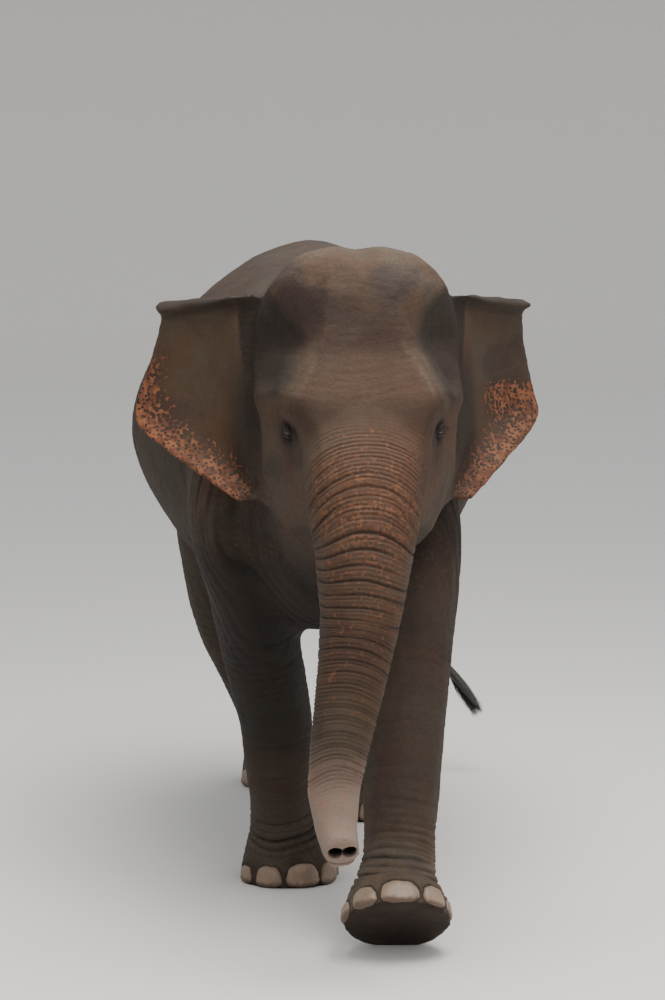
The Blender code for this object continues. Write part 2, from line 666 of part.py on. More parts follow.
def loose_pieces(obj):
    """Splits an object into its separate closed shells."""
    shape = bmesh.new()
    shape.from_mesh(obj.data)
    left = set(shape.verts)
    shells = []
    while left:
        front = [left.pop()]
        shell = set(front)
        while front:
            vert = front.pop()
            near = {e.other_vert(vert) for e in vert.link_edges} & left
            left -= near
            shell |= near
            front.extend(near)
        shells.append(shell)
    pieces = []
    for shell in shells:
        part = bmesh.new()
        twin = {v: part.verts.new(v.co) for v in shell}
        for face in {f for v in shell for f in v.link_faces}:
            part.faces.new([twin[v] for v in face.verts])
        mesh = bpy.data.meshes.new("piece")
        part.to_mesh(mesh)
        part.free()
        piece = bpy.data.objects.new("piece", mesh)
        bpy.context.scene.collection.objects.link(piece)
        pieces.append(piece)
    shape.free()
    bpy.data.objects.remove(obj)
    return pieces


def middle(obj):
    """The middle of an object's bounding box."""
    return sum((Vector(corner) for corner in obj.bound_box), Vector()) / 8


def parted(body):
    """Cuts the ears and then the other nodes free and names the pieces."""
    for side in (1, -1):
        sweep = EAR_SWEEP[side]
        way = Vector((side * math.cos(sweep), math.sin(sweep), 0))
        front = Vector((side * math.sin(sweep), -math.cos(sweep), 0))
        root = (EAR_ROOT_TOP + EAR_ROOT_LOW) / 2
        root = Vector((root.x * side, root.y, root.z)) + way * EAR_CUT[side] + front * 0.035
        rise = EAR_ROOT_TOP - EAR_ROOT_LOW
        rise = Vector((rise.x * side, rise.y, rise.z))
        cutter = slab(root, rise.cross(front), front, 0.10, 0.50)
        body = without(body, set_on_neck(cutter))
    for _, cut in CUTS:
        lean = math.radians(cut.lean)
        normal = (0, -math.sin(lean), math.cos(lean))
        place = (cut.x, cut.y, cut.z)
        body = without(body, slab(place, normal, (1, 0, 0), cut.half_x, cut.half_reach))
    pieces = loose_pieces(body)
    for chip in [p for p in pieces if len(p.data.polygons) < CHIP]:
        pieces.remove(chip)
        bpy.data.objects.remove(chip)
    nodes = {}
    for name, place in MIDDLES.items():
        piece = min(pieces, key=lambda p: (middle(p) - Vector(place)).length)
        pieces.remove(piece)
        nodes[name] = piece
        piece.name = name
    return nodes


# ---- Eyes and toenails, each in a pocket


def ball(name, centre, radius):
    return blob(name, centre, (radius, radius, radius), segments=12, rings=7)


def eye_place(side):
    eye = Vector((EYE_PLACE.x * side, EYE_PLACE.y, EYE_PLACE.z))
    turn = Matrix.Rotation(HEAD_YAW, 4, "Z")
    pivot = Vector((0, -0.15, 0))
    return turn @ (eye - pivot) + pivot + Vector((HEAD_X, HEAD_Y, 0))


Foot = namedtuple("Foot", "sole front up half_width reach angles toe_in")
FOOT_POWER = 2 / 2.3
FORE_NAILS = (-78, -39, 0, 39, 78)
HIND_NAILS = (-57, -19, 19, 57)
PITCH = math.radians(37.4)  # of the lifted sole, toes up
FEET = {
    "foot_front_left": Foot(
        Vector((0.167, -0.700, 0.095)),
        Vector((0, -math.cos(PITCH), math.sin(PITCH))),
        Vector((0, math.sin(PITCH), math.cos(PITCH))),
        SOLE_RADIUS, 0.19, FORE_NAILS, 0,
    ),
    "foot_front_right": Foot(
        Vector((-0.137, 0.395, 0)), Vector((0, -1, 0)), Vector((0, 0, 1)),
        SOLE_RADIUS, 0.19, FORE_NAILS, 14,
    ),
    "foot_hind_left": Foot(
        Vector((0.176, 1.45, 0)), Vector((0, -1, 0)), Vector((0, 0, 1)),
        0.152, 0.20, HIND_NAILS, 0,
    ),
    "foot_hind_right": Foot(
        Vector((-0.110, 2.07, 0)), Vector((0, -1, 0)), Vector((0, 0, 1)),
        0.152, 0.20, HIND_NAILS, 0,
    ),
}
NAIL_CORNERS = 9
NAIL_HALF_WIDTH = 0.057
NAIL_HEIGHT = 0.080
NAIL_LIFT = 0.46  # the height of a nail's middle in heights of the nail
NAIL_DEPTH = 0.016


def on_foot(foot, angle, height, out):
    """A place on the side of a foot: round it, above the sole and out of the surface."""
    across, ahead = math.sin(angle), math.cos(angle)
    wide = foot.half_width - 0.10 * height + out
    far = foot.reach - 0.16 * height + out
    x = math.copysign(abs(across) ** FOOT_POWER, across) * wide
    y = math.copysign(abs(ahead) ** FOOT_POWER, ahead) * far
    return foot.sole + Vector((x, 0, 0)) + foot.front * y + foot.up * height


def nail_layers(foot, angle, half_width, height, layers):
    """A closed plate curved round the foot. Each layer is (margin, share of size, out)."""
    verts = []
    bend = (foot.half_width + foot.reach) / 2
    for margin, share, out in layers:
        for corner in range(NAIL_CORNERS):
            turn = 2 * math.pi * (corner + 0.5) / NAIL_CORNERS
            across = math.copysign(abs(math.cos(turn)) ** 0.75, math.cos(turn))
            up = math.copysign(abs(math.sin(turn)) ** 0.75, math.sin(turn))
            low = 0.55 if up < 0 else 1.0
            x = across * (half_width * share * (1 + 0.12 * (up < 0)) + 1.3 * margin)
            z = NAIL_LIFT * height + up * (low * height * 0.62 * share + 1.6 * margin)
            verts.append(on_foot(foot, angle + x / bend, z, out))
    nail = add_mesh("nail", verts, skin_of_rings(len(layers), NAIL_CORNERS))
    shape = bmesh.new()
    shape.from_mesh(nail.data)
    # Both ends get a middle, so that the pocket's floor bends just as the nail's back does.
    bmesh.ops.poke(shape, faces=[f for f in shape.faces if len(f.verts) > 4])
    shape.to_mesh(nail.data)
    shape.free()
    return outward(nail)




def set_nails(foot_name, foot, flesh):
    """Sets a foot's nails in pockets. The middle ones are the largest."""
    nails = []
    for number, degrees in enumerate(foot.angles, 1):
        angle = math.radians(degrees + foot.toe_in)
        size = 1 - 0.22 * abs(degrees) / 78
        half_width, height = NAIL_HALF_WIDTH * size, NAIL_HEIGHT * size
        pocket = [(CLEARANCE, 1, -NAIL_DEPTH - CLEARANCE), (CLEARANCE, 1, 0.05)]
        flesh = without(flesh, nail_layers(foot, angle, half_width, height, pocket))
        plate = [(0, 1, -NAIL_DEPTH), (0, 1, 0.004), (0, 0.62, 0.0100)]
        nail = nail_layers(foot, angle, half_width, height, plate)
        nail.name = foot_name.replace("foot", "toenail") + f"_{number}"
        nails.append(nail)
    return nails


def half_space(place, normal):
    """A large box that fills the side of a plane to which the normal points."""
    normal = Vector(normal).normalized()
    shape = bmesh.new()
    bmesh.ops.create_cube(shape, size=0.5)
    turn = normal.to_track_quat("Z", "Y").to_matrix().to_4x4()
    shape.transform(Matrix.Translation(Vector(place) + normal * 0.25) @ turn)
    mesh = bpy.data.meshes.new("half_space")
    shape.to_mesh(mesh)
    shape.free()
    obj = bpy.data.objects.new("half_space", mesh)
    bpy.context.scene.collection.objects.link(obj)
    return outward(obj)


def build():
    body = whole_animal()
    points = read_points(body)
    x, y, z = points.T
    importance = 0.1 * fade(0.9 - np.minimum(z, 0.9), 0, 0.2)
    face = fade(-y, 0.20, 0.35) * fade(z, 1.15, 1.30)
    feet = 1 - fade(z, 0.20, 0.30)
    trunk_end = fade(-y, 0.80, 0.84) * (1 - fade(z, 1.20, 1.40))
    importance = np.maximum.reduce([importance, 0.4 * face, 0.4 * feet, 0.3 * trunk_end])
    body = decimated(body, BODY_TRIANGLES, importance)
    body = flat_below(body)
    way = TAIL_WAY.normalized()
    body = without(body, half_space(TAIL_CUT - way * GAP / 2, way))
    nodes = parted(body)
    tail = loft("tail", TAIL[2:], (0, 1, 0), 3, 10)
    tail = without(tail, half_space(TAIL_CUT + way * GAP / 2, -way))
    tuft = loft("tail_tuft", TUFT, (0, 1, 0), 2, 10)
    way = TUFT_WAY.normalized()
    nodes["tail"] = without(tail, half_space(TUFT_CUT - way * GAP / 2, way))
    nodes["tail_tuft"] = without(tuft, half_space(TUFT_CUT + way * GAP / 2, -way))
    for foot_name, foot in FEET.items():
        for nail in set_nails(foot_name, foot, nodes[foot_name]):
            nodes[nail.name] = nail
    for side, name in ((1, "eye_left"), (-1, "eye_right")):
        socket = ball("socket", eye_place(side), EYE_RADIUS + CLEARANCE)
        nodes["head"] = without(nodes["head"], socket)
        nodes[name] = ball(name, eye_place(side), EYE_RADIUS)
    for side in (1, -1):
        nodes["trunk_tip"] = without(nodes["trunk_tip"], nostril(side))
    return nodes


# ---- Finish: colours, and the middle of the whole over the origin

FINISHES = {  # colour, roughness, specular level
    "skin": ((0.105, 0.080, 0.062), 0.85, 0.30),
    "trunk_end_skin": ((0.250, 0.205, 0.180), 0.80, 0.30),
    "eye": ((0.020, 0.012, 0.008), 0.10, 0.50),
    "nail": ((0.330, 0.270, 0.210), 0.60, 0.40),
    "hair": ((0.022, 0.024, 0.028), 0.70, 0.30),
}
FINISH_OF = {"trunk_tip": "trunk_end_skin", "tail_tuft": "hair"}


def finish_of(name):
    if name.startswith("toenail"):
        return "nail"
    if name.startswith("eye"):
        return "eye"
    return FINISH_OF.get(name, "skin")


def finish(name, obj):
    colour, roughness, specular = FINISHES[finish_of(name)]
    material = bpy.data.materials.new(f"{finish_of(name)}_{name}")
    material.use_nodes = True
    surface = material.node_tree.nodes["Principled BSDF"]
    surface.inputs["Base Color"].default_value = (*colour, 1)
    surface.inputs["Roughness"].default_value = roughness
    surface.inputs["Specular IOR Level"].default_value = specular
    obj.data.materials.clear()
    obj.data.materials.append(material)
    obj.name = name
    obj.data.name = name


def centred(nodes):
    """Moves all nodes so that the middle of their box's foot is the origin."""
    points = np.vstack([read_points(obj) for obj in nodes.values()])
    low, high = points.min(axis=0), points.max(axis=0)
    shift = Vector((-(low[0] + high[0]) / 2, -(low[1] + high[1]) / 2, -low[2]))
    for obj in nodes.values():
        obj.data.transform(Matrix.Translation(shift))
    print("shift", tuple(round(v, 4) for v in shift), "size", (high - low).round(3))


clear_scene()
nodes = build()
for name, obj in nodes.items():
    finish(name, obj)
centred(nodes)
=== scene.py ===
# %% [markdown]
# # An Asian elephant in mid stride
# A grown, tuskless cow walks towards the viewer: the right fore foot is planted, the left one comes
# down on its heel, and the trunk hangs to the floor between them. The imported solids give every
# size and place. This lesson dresses them: one wrinkled hide over all the flesh, wet eyes under
# real lids, horny toenails, sparse bristles and the tuft of the tail.

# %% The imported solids
import itertools
import math

import bmesh
import bpy
import numpy as np
from mathutils import Matrix, Vector
from mathutils.bvhtree import BVHTree


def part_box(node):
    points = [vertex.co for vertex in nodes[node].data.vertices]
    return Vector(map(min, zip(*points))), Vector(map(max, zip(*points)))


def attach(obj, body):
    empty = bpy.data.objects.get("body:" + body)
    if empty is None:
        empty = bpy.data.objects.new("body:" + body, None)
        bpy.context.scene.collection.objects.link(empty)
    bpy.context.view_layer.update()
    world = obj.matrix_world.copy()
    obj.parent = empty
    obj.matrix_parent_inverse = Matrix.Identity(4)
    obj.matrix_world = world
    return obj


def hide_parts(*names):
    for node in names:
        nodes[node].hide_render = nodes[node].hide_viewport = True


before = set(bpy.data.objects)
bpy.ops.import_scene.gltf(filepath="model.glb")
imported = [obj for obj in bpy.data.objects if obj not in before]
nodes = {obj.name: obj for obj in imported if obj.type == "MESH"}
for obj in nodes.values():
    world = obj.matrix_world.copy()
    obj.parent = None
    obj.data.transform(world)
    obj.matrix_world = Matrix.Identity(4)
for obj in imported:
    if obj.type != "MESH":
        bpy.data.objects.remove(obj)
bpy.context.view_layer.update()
scene = bpy.context.scene

# %% [markdown]
# ## Floor, light and camera
# The camera stands a little to the animal's right at the height of a person on a low platform,
# and looks down by a few degrees through a long lens. An overcast sky lights backs and foreheads
# and leaves bellies dark, so one wide soft lamp hangs overhead and the rest is a weak fill.

# %% Floor
CAMERA_PLACE = Vector((-0.659, -10.821, 2.618))
CAMERA_DOWN = math.radians(6.63)
CAMERA_TURN = math.radians(-3.5)
LENS = 108


def linear(red, green, blue):
    """A colour given as a painter sees it, 0 to 255, in the linear light that shaders use."""
    parts = [c / 255 for c in (red, green, blue)]
    return tuple(c / 12.92 if c < 0.04 else ((c + 0.055) / 1.055) ** 2.4 for c in parts) + (1,)


def add_object(name, data):
    """A new object in the scene that shows a mesh, a lamp or a camera."""
    obj = bpy.data.objects.new(name, data)
    scene.collection.objects.link(obj)
    return obj


def add_mesh(name, verts, faces):
    mesh = bpy.data.meshes.new(name)
    mesh.from_pydata(verts, [], faces)
    mesh.update()
    return add_object(name, mesh)


def plain_material(name, colour, roughness):
    made = bpy.data.materials.new(name)
    made.use_nodes = True
    shader = made.node_tree.nodes["Principled BSDF"]
    shader.inputs["Base Color"].default_value = colour
    shader.inputs["Roughness"].default_value = roughness
    return made


def floor_sheet():
    """A round floor that bends up into a low wall far from the animal, so that no edge shows."""
    reach, bend, wall, turns = 23, 5, 9, 72
    profile = [(0.5, 0), (6, 0), (14, 0)]
    for step in range(13):
        angle = math.radians(90 * step / 12)
        profile.append((reach + bend * math.sin(angle), bend * (1 - math.cos(angle))))
    profile.append((reach + bend, wall))
    verts = [(0, 0, 0)]
    for radius, height in profile:
        for turn in range(turns):
            angle = 2 * math.pi * turn / turns
            verts.append((radius * math.cos(angle), radius * math.sin(angle), height))
    faces = [(0, 1 + turn, 1 + (turn + 1) % turns) for turn in range(turns)]
    for ring in range(len(profile) - 1):
        low, high = 1 + ring * turns, 1 + (ring + 1) * turns
        for turn in range(turns):
            after = (turn + 1) % turns
            faces.append((low + turn, high + turn, high + after, low + after))
    sheet = add_mesh("studio_floor", verts, faces)
    sheet.data.shade_smooth()
    sheet.data.materials.append(plain_material("studio_floor", (0.74, 0.72, 0.69, 1), 0.9))
    return sheet


studio_floor = floor_sheet()

# %% Lamps


def lamp(name, place, aim, size, watts, colour=(1, 1, 1)):
    light = bpy.data.lights.new(name, "AREA")
    light.shape = "DISK"
    light.size = size
    light.energy = watts
    light.color = colour
    obj = add_object(name, light)
    obj.location = place
    obj.rotation_euler = (Vector(aim) - Vector(place)).to_track_quat("-Z", "Y").to_euler()


lamp("overhead", (0.6, -1.6, 6.5), (0, -0.3, 1), 5.0, 560, (1, 0.98, 0.95))
lamp("front_fill", (2.6, -8.5, 4.6), (0, -1, 1.2), 4.0, 170, (1, 0.97, 0.94))
world = bpy.data.worlds.new("overcast")
world.use_nodes = True
world.node_tree.nodes["Background"].inputs["Color"].default_value = (0.95, 0.97, 1.0, 1)
world.node_tree.nodes["Background"].inputs["Strength"].default_value = 0.80
scene.world = world

# %% Camera
lens = bpy.data.cameras.new("camera")
lens.lens = LENS
lens.sensor_width = 36
lens.clip_end = 200
camera = add_object("camera", lens)
camera.location = CAMERA_PLACE
camera.rotation_euler = (math.pi / 2 - CAMERA_DOWN, 0, CAMERA_TURN)
scene.camera = camera
print("camera at", [round(v, 2) for v in CAMERA_PLACE])

# %% [markdown]
# ## Noise to sculpt with
# Wrinkles, dents and freckles all start from noise. Here it is worked out with numpy for all
# points of a mesh at once, so that a few hundred thousand of them take a second or so. Each cell
# of a lattice gets its own random number from its own address, so the result never changes.

# %% Noise and creases


def cell_random(cells, seed):
    """An even random number from 0 to 1 for each cell, given by whole numbers."""
    mixed = cells @ np.array([73856093, 19349663, 83492791]) + seed * 374761393
    mixed = (mixed ^ (mixed >> 13)) * 1274126177
    mixed = mixed ^ (mixed >> 16)
    return (mixed & 0xFFFF) / 0xFFFF


def noise(points, size, seed):
    """Smooth noise, about -1 to 1. size is how far apart its lumps are."""
    total = np.zeros(len(points))
    grid = points / size
    low = np.floor(grid).astype(np.int64)
    part = grid - low
    part = part * part * (3 - 2 * part)
    for corner in itertools.product((0, 1), repeat=3):
        weight = np.where(np.array(corner) == 1, part, 1 - part).prod(axis=1)
        total += weight * (2 * cell_random(low + np.array(corner), seed) - 1)
    return total


def cracks(points, size, seed):
    """The gap between the nearest and second nearest of scattered spots: 0 along a crack."""
    grid = points / size
    low = np.floor(grid).astype(np.int64)
    first = np.full(len(points), 9.0)
    second = np.full(len(points), 9.0)
    for offset in itertools.product((-1, 0, 1), repeat=3):
        cell = low + np.array(offset)
        spot = np.stack([cell_random(cell, seed + axis) for axis in range(3)], axis=1) + cell
        far = np.linalg.norm(spot - grid, axis=1)
        second = np.minimum(second, np.maximum(first, far))
        first = np.minimum(first, far)
    return second - first


def fade(value, start, end):
    """0 up to start, 1 from end on, smooth between. start may be the larger one."""
    t = np.clip((value - start) / (end - start), 0, 1)
    return t * t * (3 - 2 * t)


def creases(along, spacing, width, points, seed, wander=0.4, run=0.12):
    """How deep each point lies in creases across a direction: 0 on the ridges, 1 in a groove.

    along is the distance in that direction. The grooves wander, and each comes and goes over
    stretches of about run.
    """
    lines = along / spacing + wander * noise(points, run, seed)
    number = np.round(lines)
    near = np.exp(-(((lines - number) * spacing / width) ** 2))
    which = np.stack([number, number * 0, number * 0], axis=1).astype(np.int64)
    strength = 0.45 + 0.55 * cell_random(which, seed + 5)
    broken = fade(noise(points + number[:, None] * 0.37, run * 1.4, seed + 9), -0.75, 0.1)
    return near * strength * broken


# %% [markdown]
# ## One hide from many solids
# The flesh is parted into nodes by thin cuts, and no cut may show. The nodes are grown by more
# than half a cut, joined, and remeshed as one skin of even squares. The solids are coarse, so
# their facets are smoothed off: what the smoothing takes from a rounded limb is smoothed too and
# given back, which keeps the limb as thick as it was. Then the squares are divided again where
# the animal has its finest folds: face, trunk, feet and, finest of all, the eyes.

# %% Places taken from the solids
FLESH = [
    "head", "jaw", "neck", "torso", "ear_left", "ear_right", "trunk_upper", "trunk_middle",
    "trunk_tip", "leg_front_left", "leg_front_right", "leg_hind_left", "leg_hind_right",
    "foot_front_left", "foot_front_right", "foot_hind_left", "foot_hind_right", "tail",
]
LEG_NAMES = ["front_left", "front_right", "hind_left", "hind_right"]
NAILS = sorted(name for name in nodes if name.startswith("toenail"))


def node_points(name):
    mesh = nodes[name].data
    found = np.zeros(len(mesh.vertices) * 3)
    mesh.vertices.foreach_get("co", found)
    return found.reshape(-1, 3)


def end_of(name, top):
    """The middle of a node's top or bottom end."""
    points = node_points(name)
    height = points[:, 2]
    rim = points[height > height.max() - 0.03] if top else points[height < height.min() + 0.03]
    return (rim.min(axis=0) + rim.max(axis=0)) / 2


def middle_of(name):
    low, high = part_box(name)
    return (low + high) / 2


EYES = {1: middle_of("eye_left"), -1: middle_of("eye_right")}
EYE_RADIUS = (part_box("eye_left")[1].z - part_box("eye_left")[0].z) / 2
BETWEEN_EYES = (EYES[1] + EYES[-1]) / 2
NOSE_END = Vector(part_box("trunk_tip")[0])
TRUNK_ROOT = end_of("trunk_upper", True)
print("eyes", BETWEEN_EYES[:], "radius", round(EYE_RADIUS, 4), "trunk root", TRUNK_ROOT.round(3))

# %% Mesh helpers


def get_points(obj):
    found = np.zeros(len(obj.data.vertices) * 3, np.float32)
    obj.data.vertices.foreach_get("co", found)
    return found.reshape(-1, 3).astype(float)


def set_points(obj, points):
    obj.data.vertices.foreach_set("co", points.astype(np.float32).ravel())
    obj.data.update()


def get_normals(obj):
    found = np.zeros(len(obj.data.vertices) * 3, np.float32)
    obj.data.vertex_normals.foreach_get("vector", found)
    return found.reshape(-1, 3).astype(float)


def get_edges(obj):
    found = np.zeros(len(obj.data.edges) * 2, np.int32)
    obj.data.edges.foreach_get("vertices", found)
    return found.reshape(-1, 2)


def keep_mask(mesh, name, values):
    """Keeps a number for each point on the mesh, where a material can read it."""
    layer = mesh.attributes.new(name, "FLOAT", "POINT")
    layer.data.foreach_set("value", np.asarray(values, np.float32))


def averaged(values, edges, passes, share=0.5):
    """Values of the points, each moved towards its neighbours' mean that many times."""
    one, two = edges[:, 0], edges[:, 1]
    count = len(values)
    degree = np.maximum(np.bincount(one, minlength=count) + np.bincount(two, minlength=count), 1)
    values = values.reshape(count, -1).copy()
    share = np.broadcast_to(share, count)
    for _ in range(passes):
        for axis in range(values.shape[1]):
            line = values[:, axis]
            near = np.bincount(one, line[two], count) + np.bincount(two, line[one], count)
            values[:, axis] = line + share * (near / degree - line)
    return values


def smoothed(points, edges, passes, share=0.5):
    """Smooths a mesh, and gives back what that took from its rounded limbs."""
    once = averaged(points, edges, passes, share)
    return once + averaged(points - once, edges, passes, share)


# %% Joined and remeshed
SEAM_GROWTH = 0.0016
NAIL_SHRINK = -0.002
HIDE_SQUARE = 0.010


def grown(name, growth):
    """A node's welded mesh, all of it moved out by growth."""
    shape = bmesh.new()
    shape.from_mesh(nodes[name].data)
    bmesh.ops.remove_doubles(shape, verts=shape.verts[:], dist=0.00002)
    shape.normal_update()
    for vert in shape.verts:
        vert.co += vert.normal * growth
    mesh = bpy.data.meshes.new(name + "_grown")
    shape.to_mesh(mesh)
    shape.free()
    return mesh


def remeshed(obj, square):
    change = obj.modifiers.new("even squares", "REMESH")
    change.mode = "VOXEL"
    change.voxel_size = square
    graph = bpy.context.evaluated_depsgraph_get()
    mesh = bpy.data.meshes.new_from_object(obj.evaluated_get(graph))
    obj.modifiers.clear()
    obj.data = mesh
    return obj


def largest_shell(obj):
    """Drops all but the largest of the mesh's unconnected shells."""
    edges = get_edges(obj)
    label = np.arange(len(obj.data.vertices))
    while True:
        low = np.minimum(label[edges[:, 0]], label[edges[:, 1]])
        before = label.copy()
        np.minimum.at(label, edges[:, 0], low)
        np.minimum.at(label, edges[:, 1], low)
        label = label[label]
        if (label == before).all():
            break
    names, counts = np.unique(label, return_counts=True)
    if len(names) > 1:
        shape = bmesh.new()
        shape.from_mesh(obj.data)
        keep = names[counts.argmax()]
        gone = [v for v, mark in zip(shape.verts, label) if mark != keep]
        bmesh.ops.delete(shape, geom=gone, context="VERTS")
        shape.to_mesh(obj.data)
        shape.free()
    return len(names)


def joined_hide():
    shape = bmesh.new()
    for name in FLESH:
        shape.from_mesh(grown(name, SEAM_GROWTH))
    for name in NAILS:
        shape.from_mesh(grown(name, NAIL_SHRINK))
    for name in ("eye_left", "eye_right"):
        shape.from_mesh(grown(name, SEAM_GROWTH))
    mesh = bpy.data.meshes.new("hide")
    shape.to_mesh(mesh)
    shape.free()
    obj = add_object("hide", mesh)
    remeshed(obj, HIDE_SQUARE)
    shells = largest_shell(obj)
    print("hide:", len(obj.data.vertices), "points, shells", shells)
    return obj


hide = joined_hide()

# %% Facets smoothed off
SMOOTH_BODY = 44
SMOOTH_FINE = 10
TRUNK_END = np.array((end_of("trunk_tip", False)[0], NOSE_END.y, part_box("trunk_tip")[0].z + 0.05))


def near_eye(points, reach):
    """1 at the eyes, falling to 0 at a distance of reach."""
    nearest = np.minimum(*[np.linalg.norm(points - np.array(EYES[s]), axis=1) for s in (1, -1)])
    return fade(nearest, reach, 0)


def smooth_hide():
    points = get_points(hide)
    edges = get_edges(hide)
    low_feet = fade(points[:, 2], 0.16, 0.02)
    tip = fade(np.linalg.norm(points - TRUNK_END, axis=1), 0.13, 0.07)
    head_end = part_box("neck")[0].y
    head_part = fade(points[:, 1], head_end + 0.35, head_end + 0.10)
    share = 0.5 * (1 - np.maximum(0.75 * low_feet, tip)) * (1 - 0.72 * head_part)
    wide = smoothed(points, edges, SMOOTH_BODY, share)
    fine = smoothed(points, edges, SMOOTH_FINE, 0.5)
    points = wide * (1 - tip[:, None]) + fine * tip[:, None]
    points[:, 2] = np.maximum(points[:, 2], 0)
    set_points(hide, points)


smooth_hide()

# %% Squares divided where folds are fine


def refine(obj, wanted):
    """Divides the squares whose corners are all wanted. wanted maps points to true or false."""
    marks = wanted(get_points(obj))
    shape = bmesh.new()
    shape.from_mesh(obj.data)
    for vert, mark in zip(shape.verts, marks.tolist()):
        vert.tag = mark
    edges = [e for e in shape.edges if e.verts[0].tag and e.verts[1].tag]
    bmesh.ops.subdivide_edges(shape, edges=edges, cuts=1, use_grid_fill=True, smooth=0.35)
    shape.to_mesh(obj.data)
    shape.free()
    print("refined to", len(obj.data.vertices))


def fine_places(points):
    face = (points[:, 1] < BETWEEN_EYES.y + 0.22) & (points[:, 2] > 1.0)
    trunk = points[:, 1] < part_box("trunk_upper")[1].y
    feet = (points[:, 2] < 0.42) & (points[:, 1] < -0.9)
    ears = np.zeros(len(points), bool)
    for name in ("ear_left", "ear_right"):
        low, high = (np.array(c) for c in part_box(name))
        ears |= ((points > low - 0.02) & (points < high + 0.02)).all(axis=1)
    front_foot = (points[:, 2] < 0.40) & (points[:, 1] < 0.1)
    return face | (trunk & (points[:, 2] > 0.35)) | feet | front_foot | ears


def trunk_front(points):
    front = points[:, 1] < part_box("trunk_upper")[0].y + 0.20
    return front & (points[:, 2] > 0.7) & (points[:, 2] < BETWEEN_EYES.z + 0.02)


def near_tip(points, reach):
    return fade(np.linalg.norm(points - TRUNK_END, axis=1), reach, 0)


refine(hide, fine_places)
refine(hide, lambda p: trunk_front(p) | (near_eye(p, 0.14) > 0) | (near_tip(p, 0.09) > 0))
refine(hide, lambda p: near_eye(p, 0.062) > 0)

# %% [markdown]
# ## Where things are on the hide
# Folds run across limbs, so each limb gets a line down its middle, read from the ends of its
# solids. A point's place along the nearest stretch of that line says which ring of the limb it
# lies on. Masks from 0 to 1 say where a point is: on an ear, on the trunk, on a sole. They are
# kept on the mesh as attributes, so that the material can use the same ones.

# %% Limb lines
LINE_STEP = 0.01


def smooth_line(places):
    """Points every LINE_STEP or so along a smooth curve through the places."""
    rows = np.array([tuple(p) for p in places], float)
    rows = rows[np.append(True, np.linalg.norm(np.diff(rows, axis=0), axis=1) > 1e-4)]
    rows = np.vstack([2 * rows[0] - rows[1], rows, 2 * rows[-1] - rows[-2]])
    found = []
    for a, b, c, d in zip(rows, rows[1:], rows[2:], rows[3:]):
        steps = max(int(np.linalg.norm(c - b) / LINE_STEP), 2)
        for t in np.arange(steps) / steps:
            bend = (2 * a - 5 * b + 4 * c - d) * t * t + (3 * b - a - 3 * c + d) * t**3
            found.append((2 * b + (c - a) * t + bend) / 2)
    return np.array(found + [rows[-2]])


def on_line(points, line):
    """For each point: its distance along the line, and from it."""
    steps = np.linalg.norm(np.diff(line, axis=0), axis=1)
    run = np.concatenate([[0], np.cumsum(steps)])
    along = np.zeros(len(points))
    away = np.zeros(len(points))
    ways = np.gradient(line, axis=0)
    ways /= np.linalg.norm(ways, axis=1)[:, None]
    for start in range(0, len(points), 20000):
        part = points[start : start + 20000]
        far = ((part[:, None, :] - line[None]) ** 2).sum(axis=2)
        nearest = far.argmin(axis=1)
        rest = ((part - line[nearest]) * ways[nearest]).sum(axis=1)
        along[start : start + 20000] = run[nearest] + rest
        away[start : start + 20000] = np.sqrt(far.min(axis=1))
    return along, away


trunk_line = smooth_line([
    BETWEEN_EYES + Vector((0, 0.10, 0.17)),
    TRUNK_ROOT,
    end_of("trunk_middle", True),
    end_of("trunk_tip", True),
    end_of("trunk_tip", True) * 0.25 + TRUNK_END * 0.75 + np.array((0, 0.07, 0.02)),
    TRUNK_END,
])
leg_lines = {
    name: smooth_line([
        end_of("leg_" + name, True), end_of("leg_" + name, False), end_of("foot_" + name, False)
    ])
    for name in LEG_NAMES
}
print("trunk line", round(np.linalg.norm(np.diff(trunk_line, axis=0), axis=1).sum(), 2), "m")

# %% Masks
points = get_points(hide)
hide_normals = get_normals(hide)
edges = get_edges(hide)
mid_x = BETWEEN_EYES.x
masks = {}


def in_box(points, name, margin):
    low, high = (np.array(c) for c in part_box(name))
    return ((points > low - margin) & (points < high + margin)).all(axis=1)


def ear_mask(name):
    """1 on the ear that is parted off as a node, and how far each of its points is from the rim."""
    mesh = nodes[name].data
    tree = BVHTree.FromPolygons([v.co for v in mesh.vertices], [p.vertices for p in mesh.polygons])
    mask = np.zeros(len(points))
    for index in np.nonzero(in_box(points, name, 0.01))[0]:
        if tree.find_nearest(Vector(points[index]), 0.015)[0] is not None:
            mask[index] = 1
    side = 1 if name == "ear_left" else -1
    low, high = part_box(name)
    ear = node_points(name)
    rim = []
    for height in np.arange(low.z, high.z - 0.10, 0.015):
        level = ear[np.abs(ear[:, 2] - height) < 0.03]
        if len(level):
            rim.append(level[(level[:, 0] * side).argmax()])
    rim = smooth_line(rim)
    away = np.full(len(points), 1.0)
    chosen = np.nonzero(in_box(points, name, 0.05))[0]
    away[chosen] = on_line(points[chosen], rim)[1]
    return mask, away


def sole_direction(name):
    """Which way a foot's sole faces."""
    faces = [p for p in nodes["foot_" + name].data.polygons if p.normal.z < -0.5]
    rough = sum((p.normal * p.area for p in faces), Vector()).normalized()
    faces = [p for p in faces if p.normal.dot(rough) > 0.97]  # without the flat at the heel
    return np.array(sum((p.normal * p.area for p in faces), Vector()).normalized())


def above_sole(places, name):
    """How far places are above the plane of a foot's sole."""
    way = sole_direction(name)
    return (node_points("foot_" + name) @ way).max() - places @ way


def sole_mask(name):
    """1 on the sole, whichever way the foot is tipped."""
    facing = fade(hide_normals @ sole_direction(name), 0.30, 0.62)
    return facing * fade(above_sole(points, name), 0.040, 0.022) * in_box(points, "foot_" + name, 0.01)


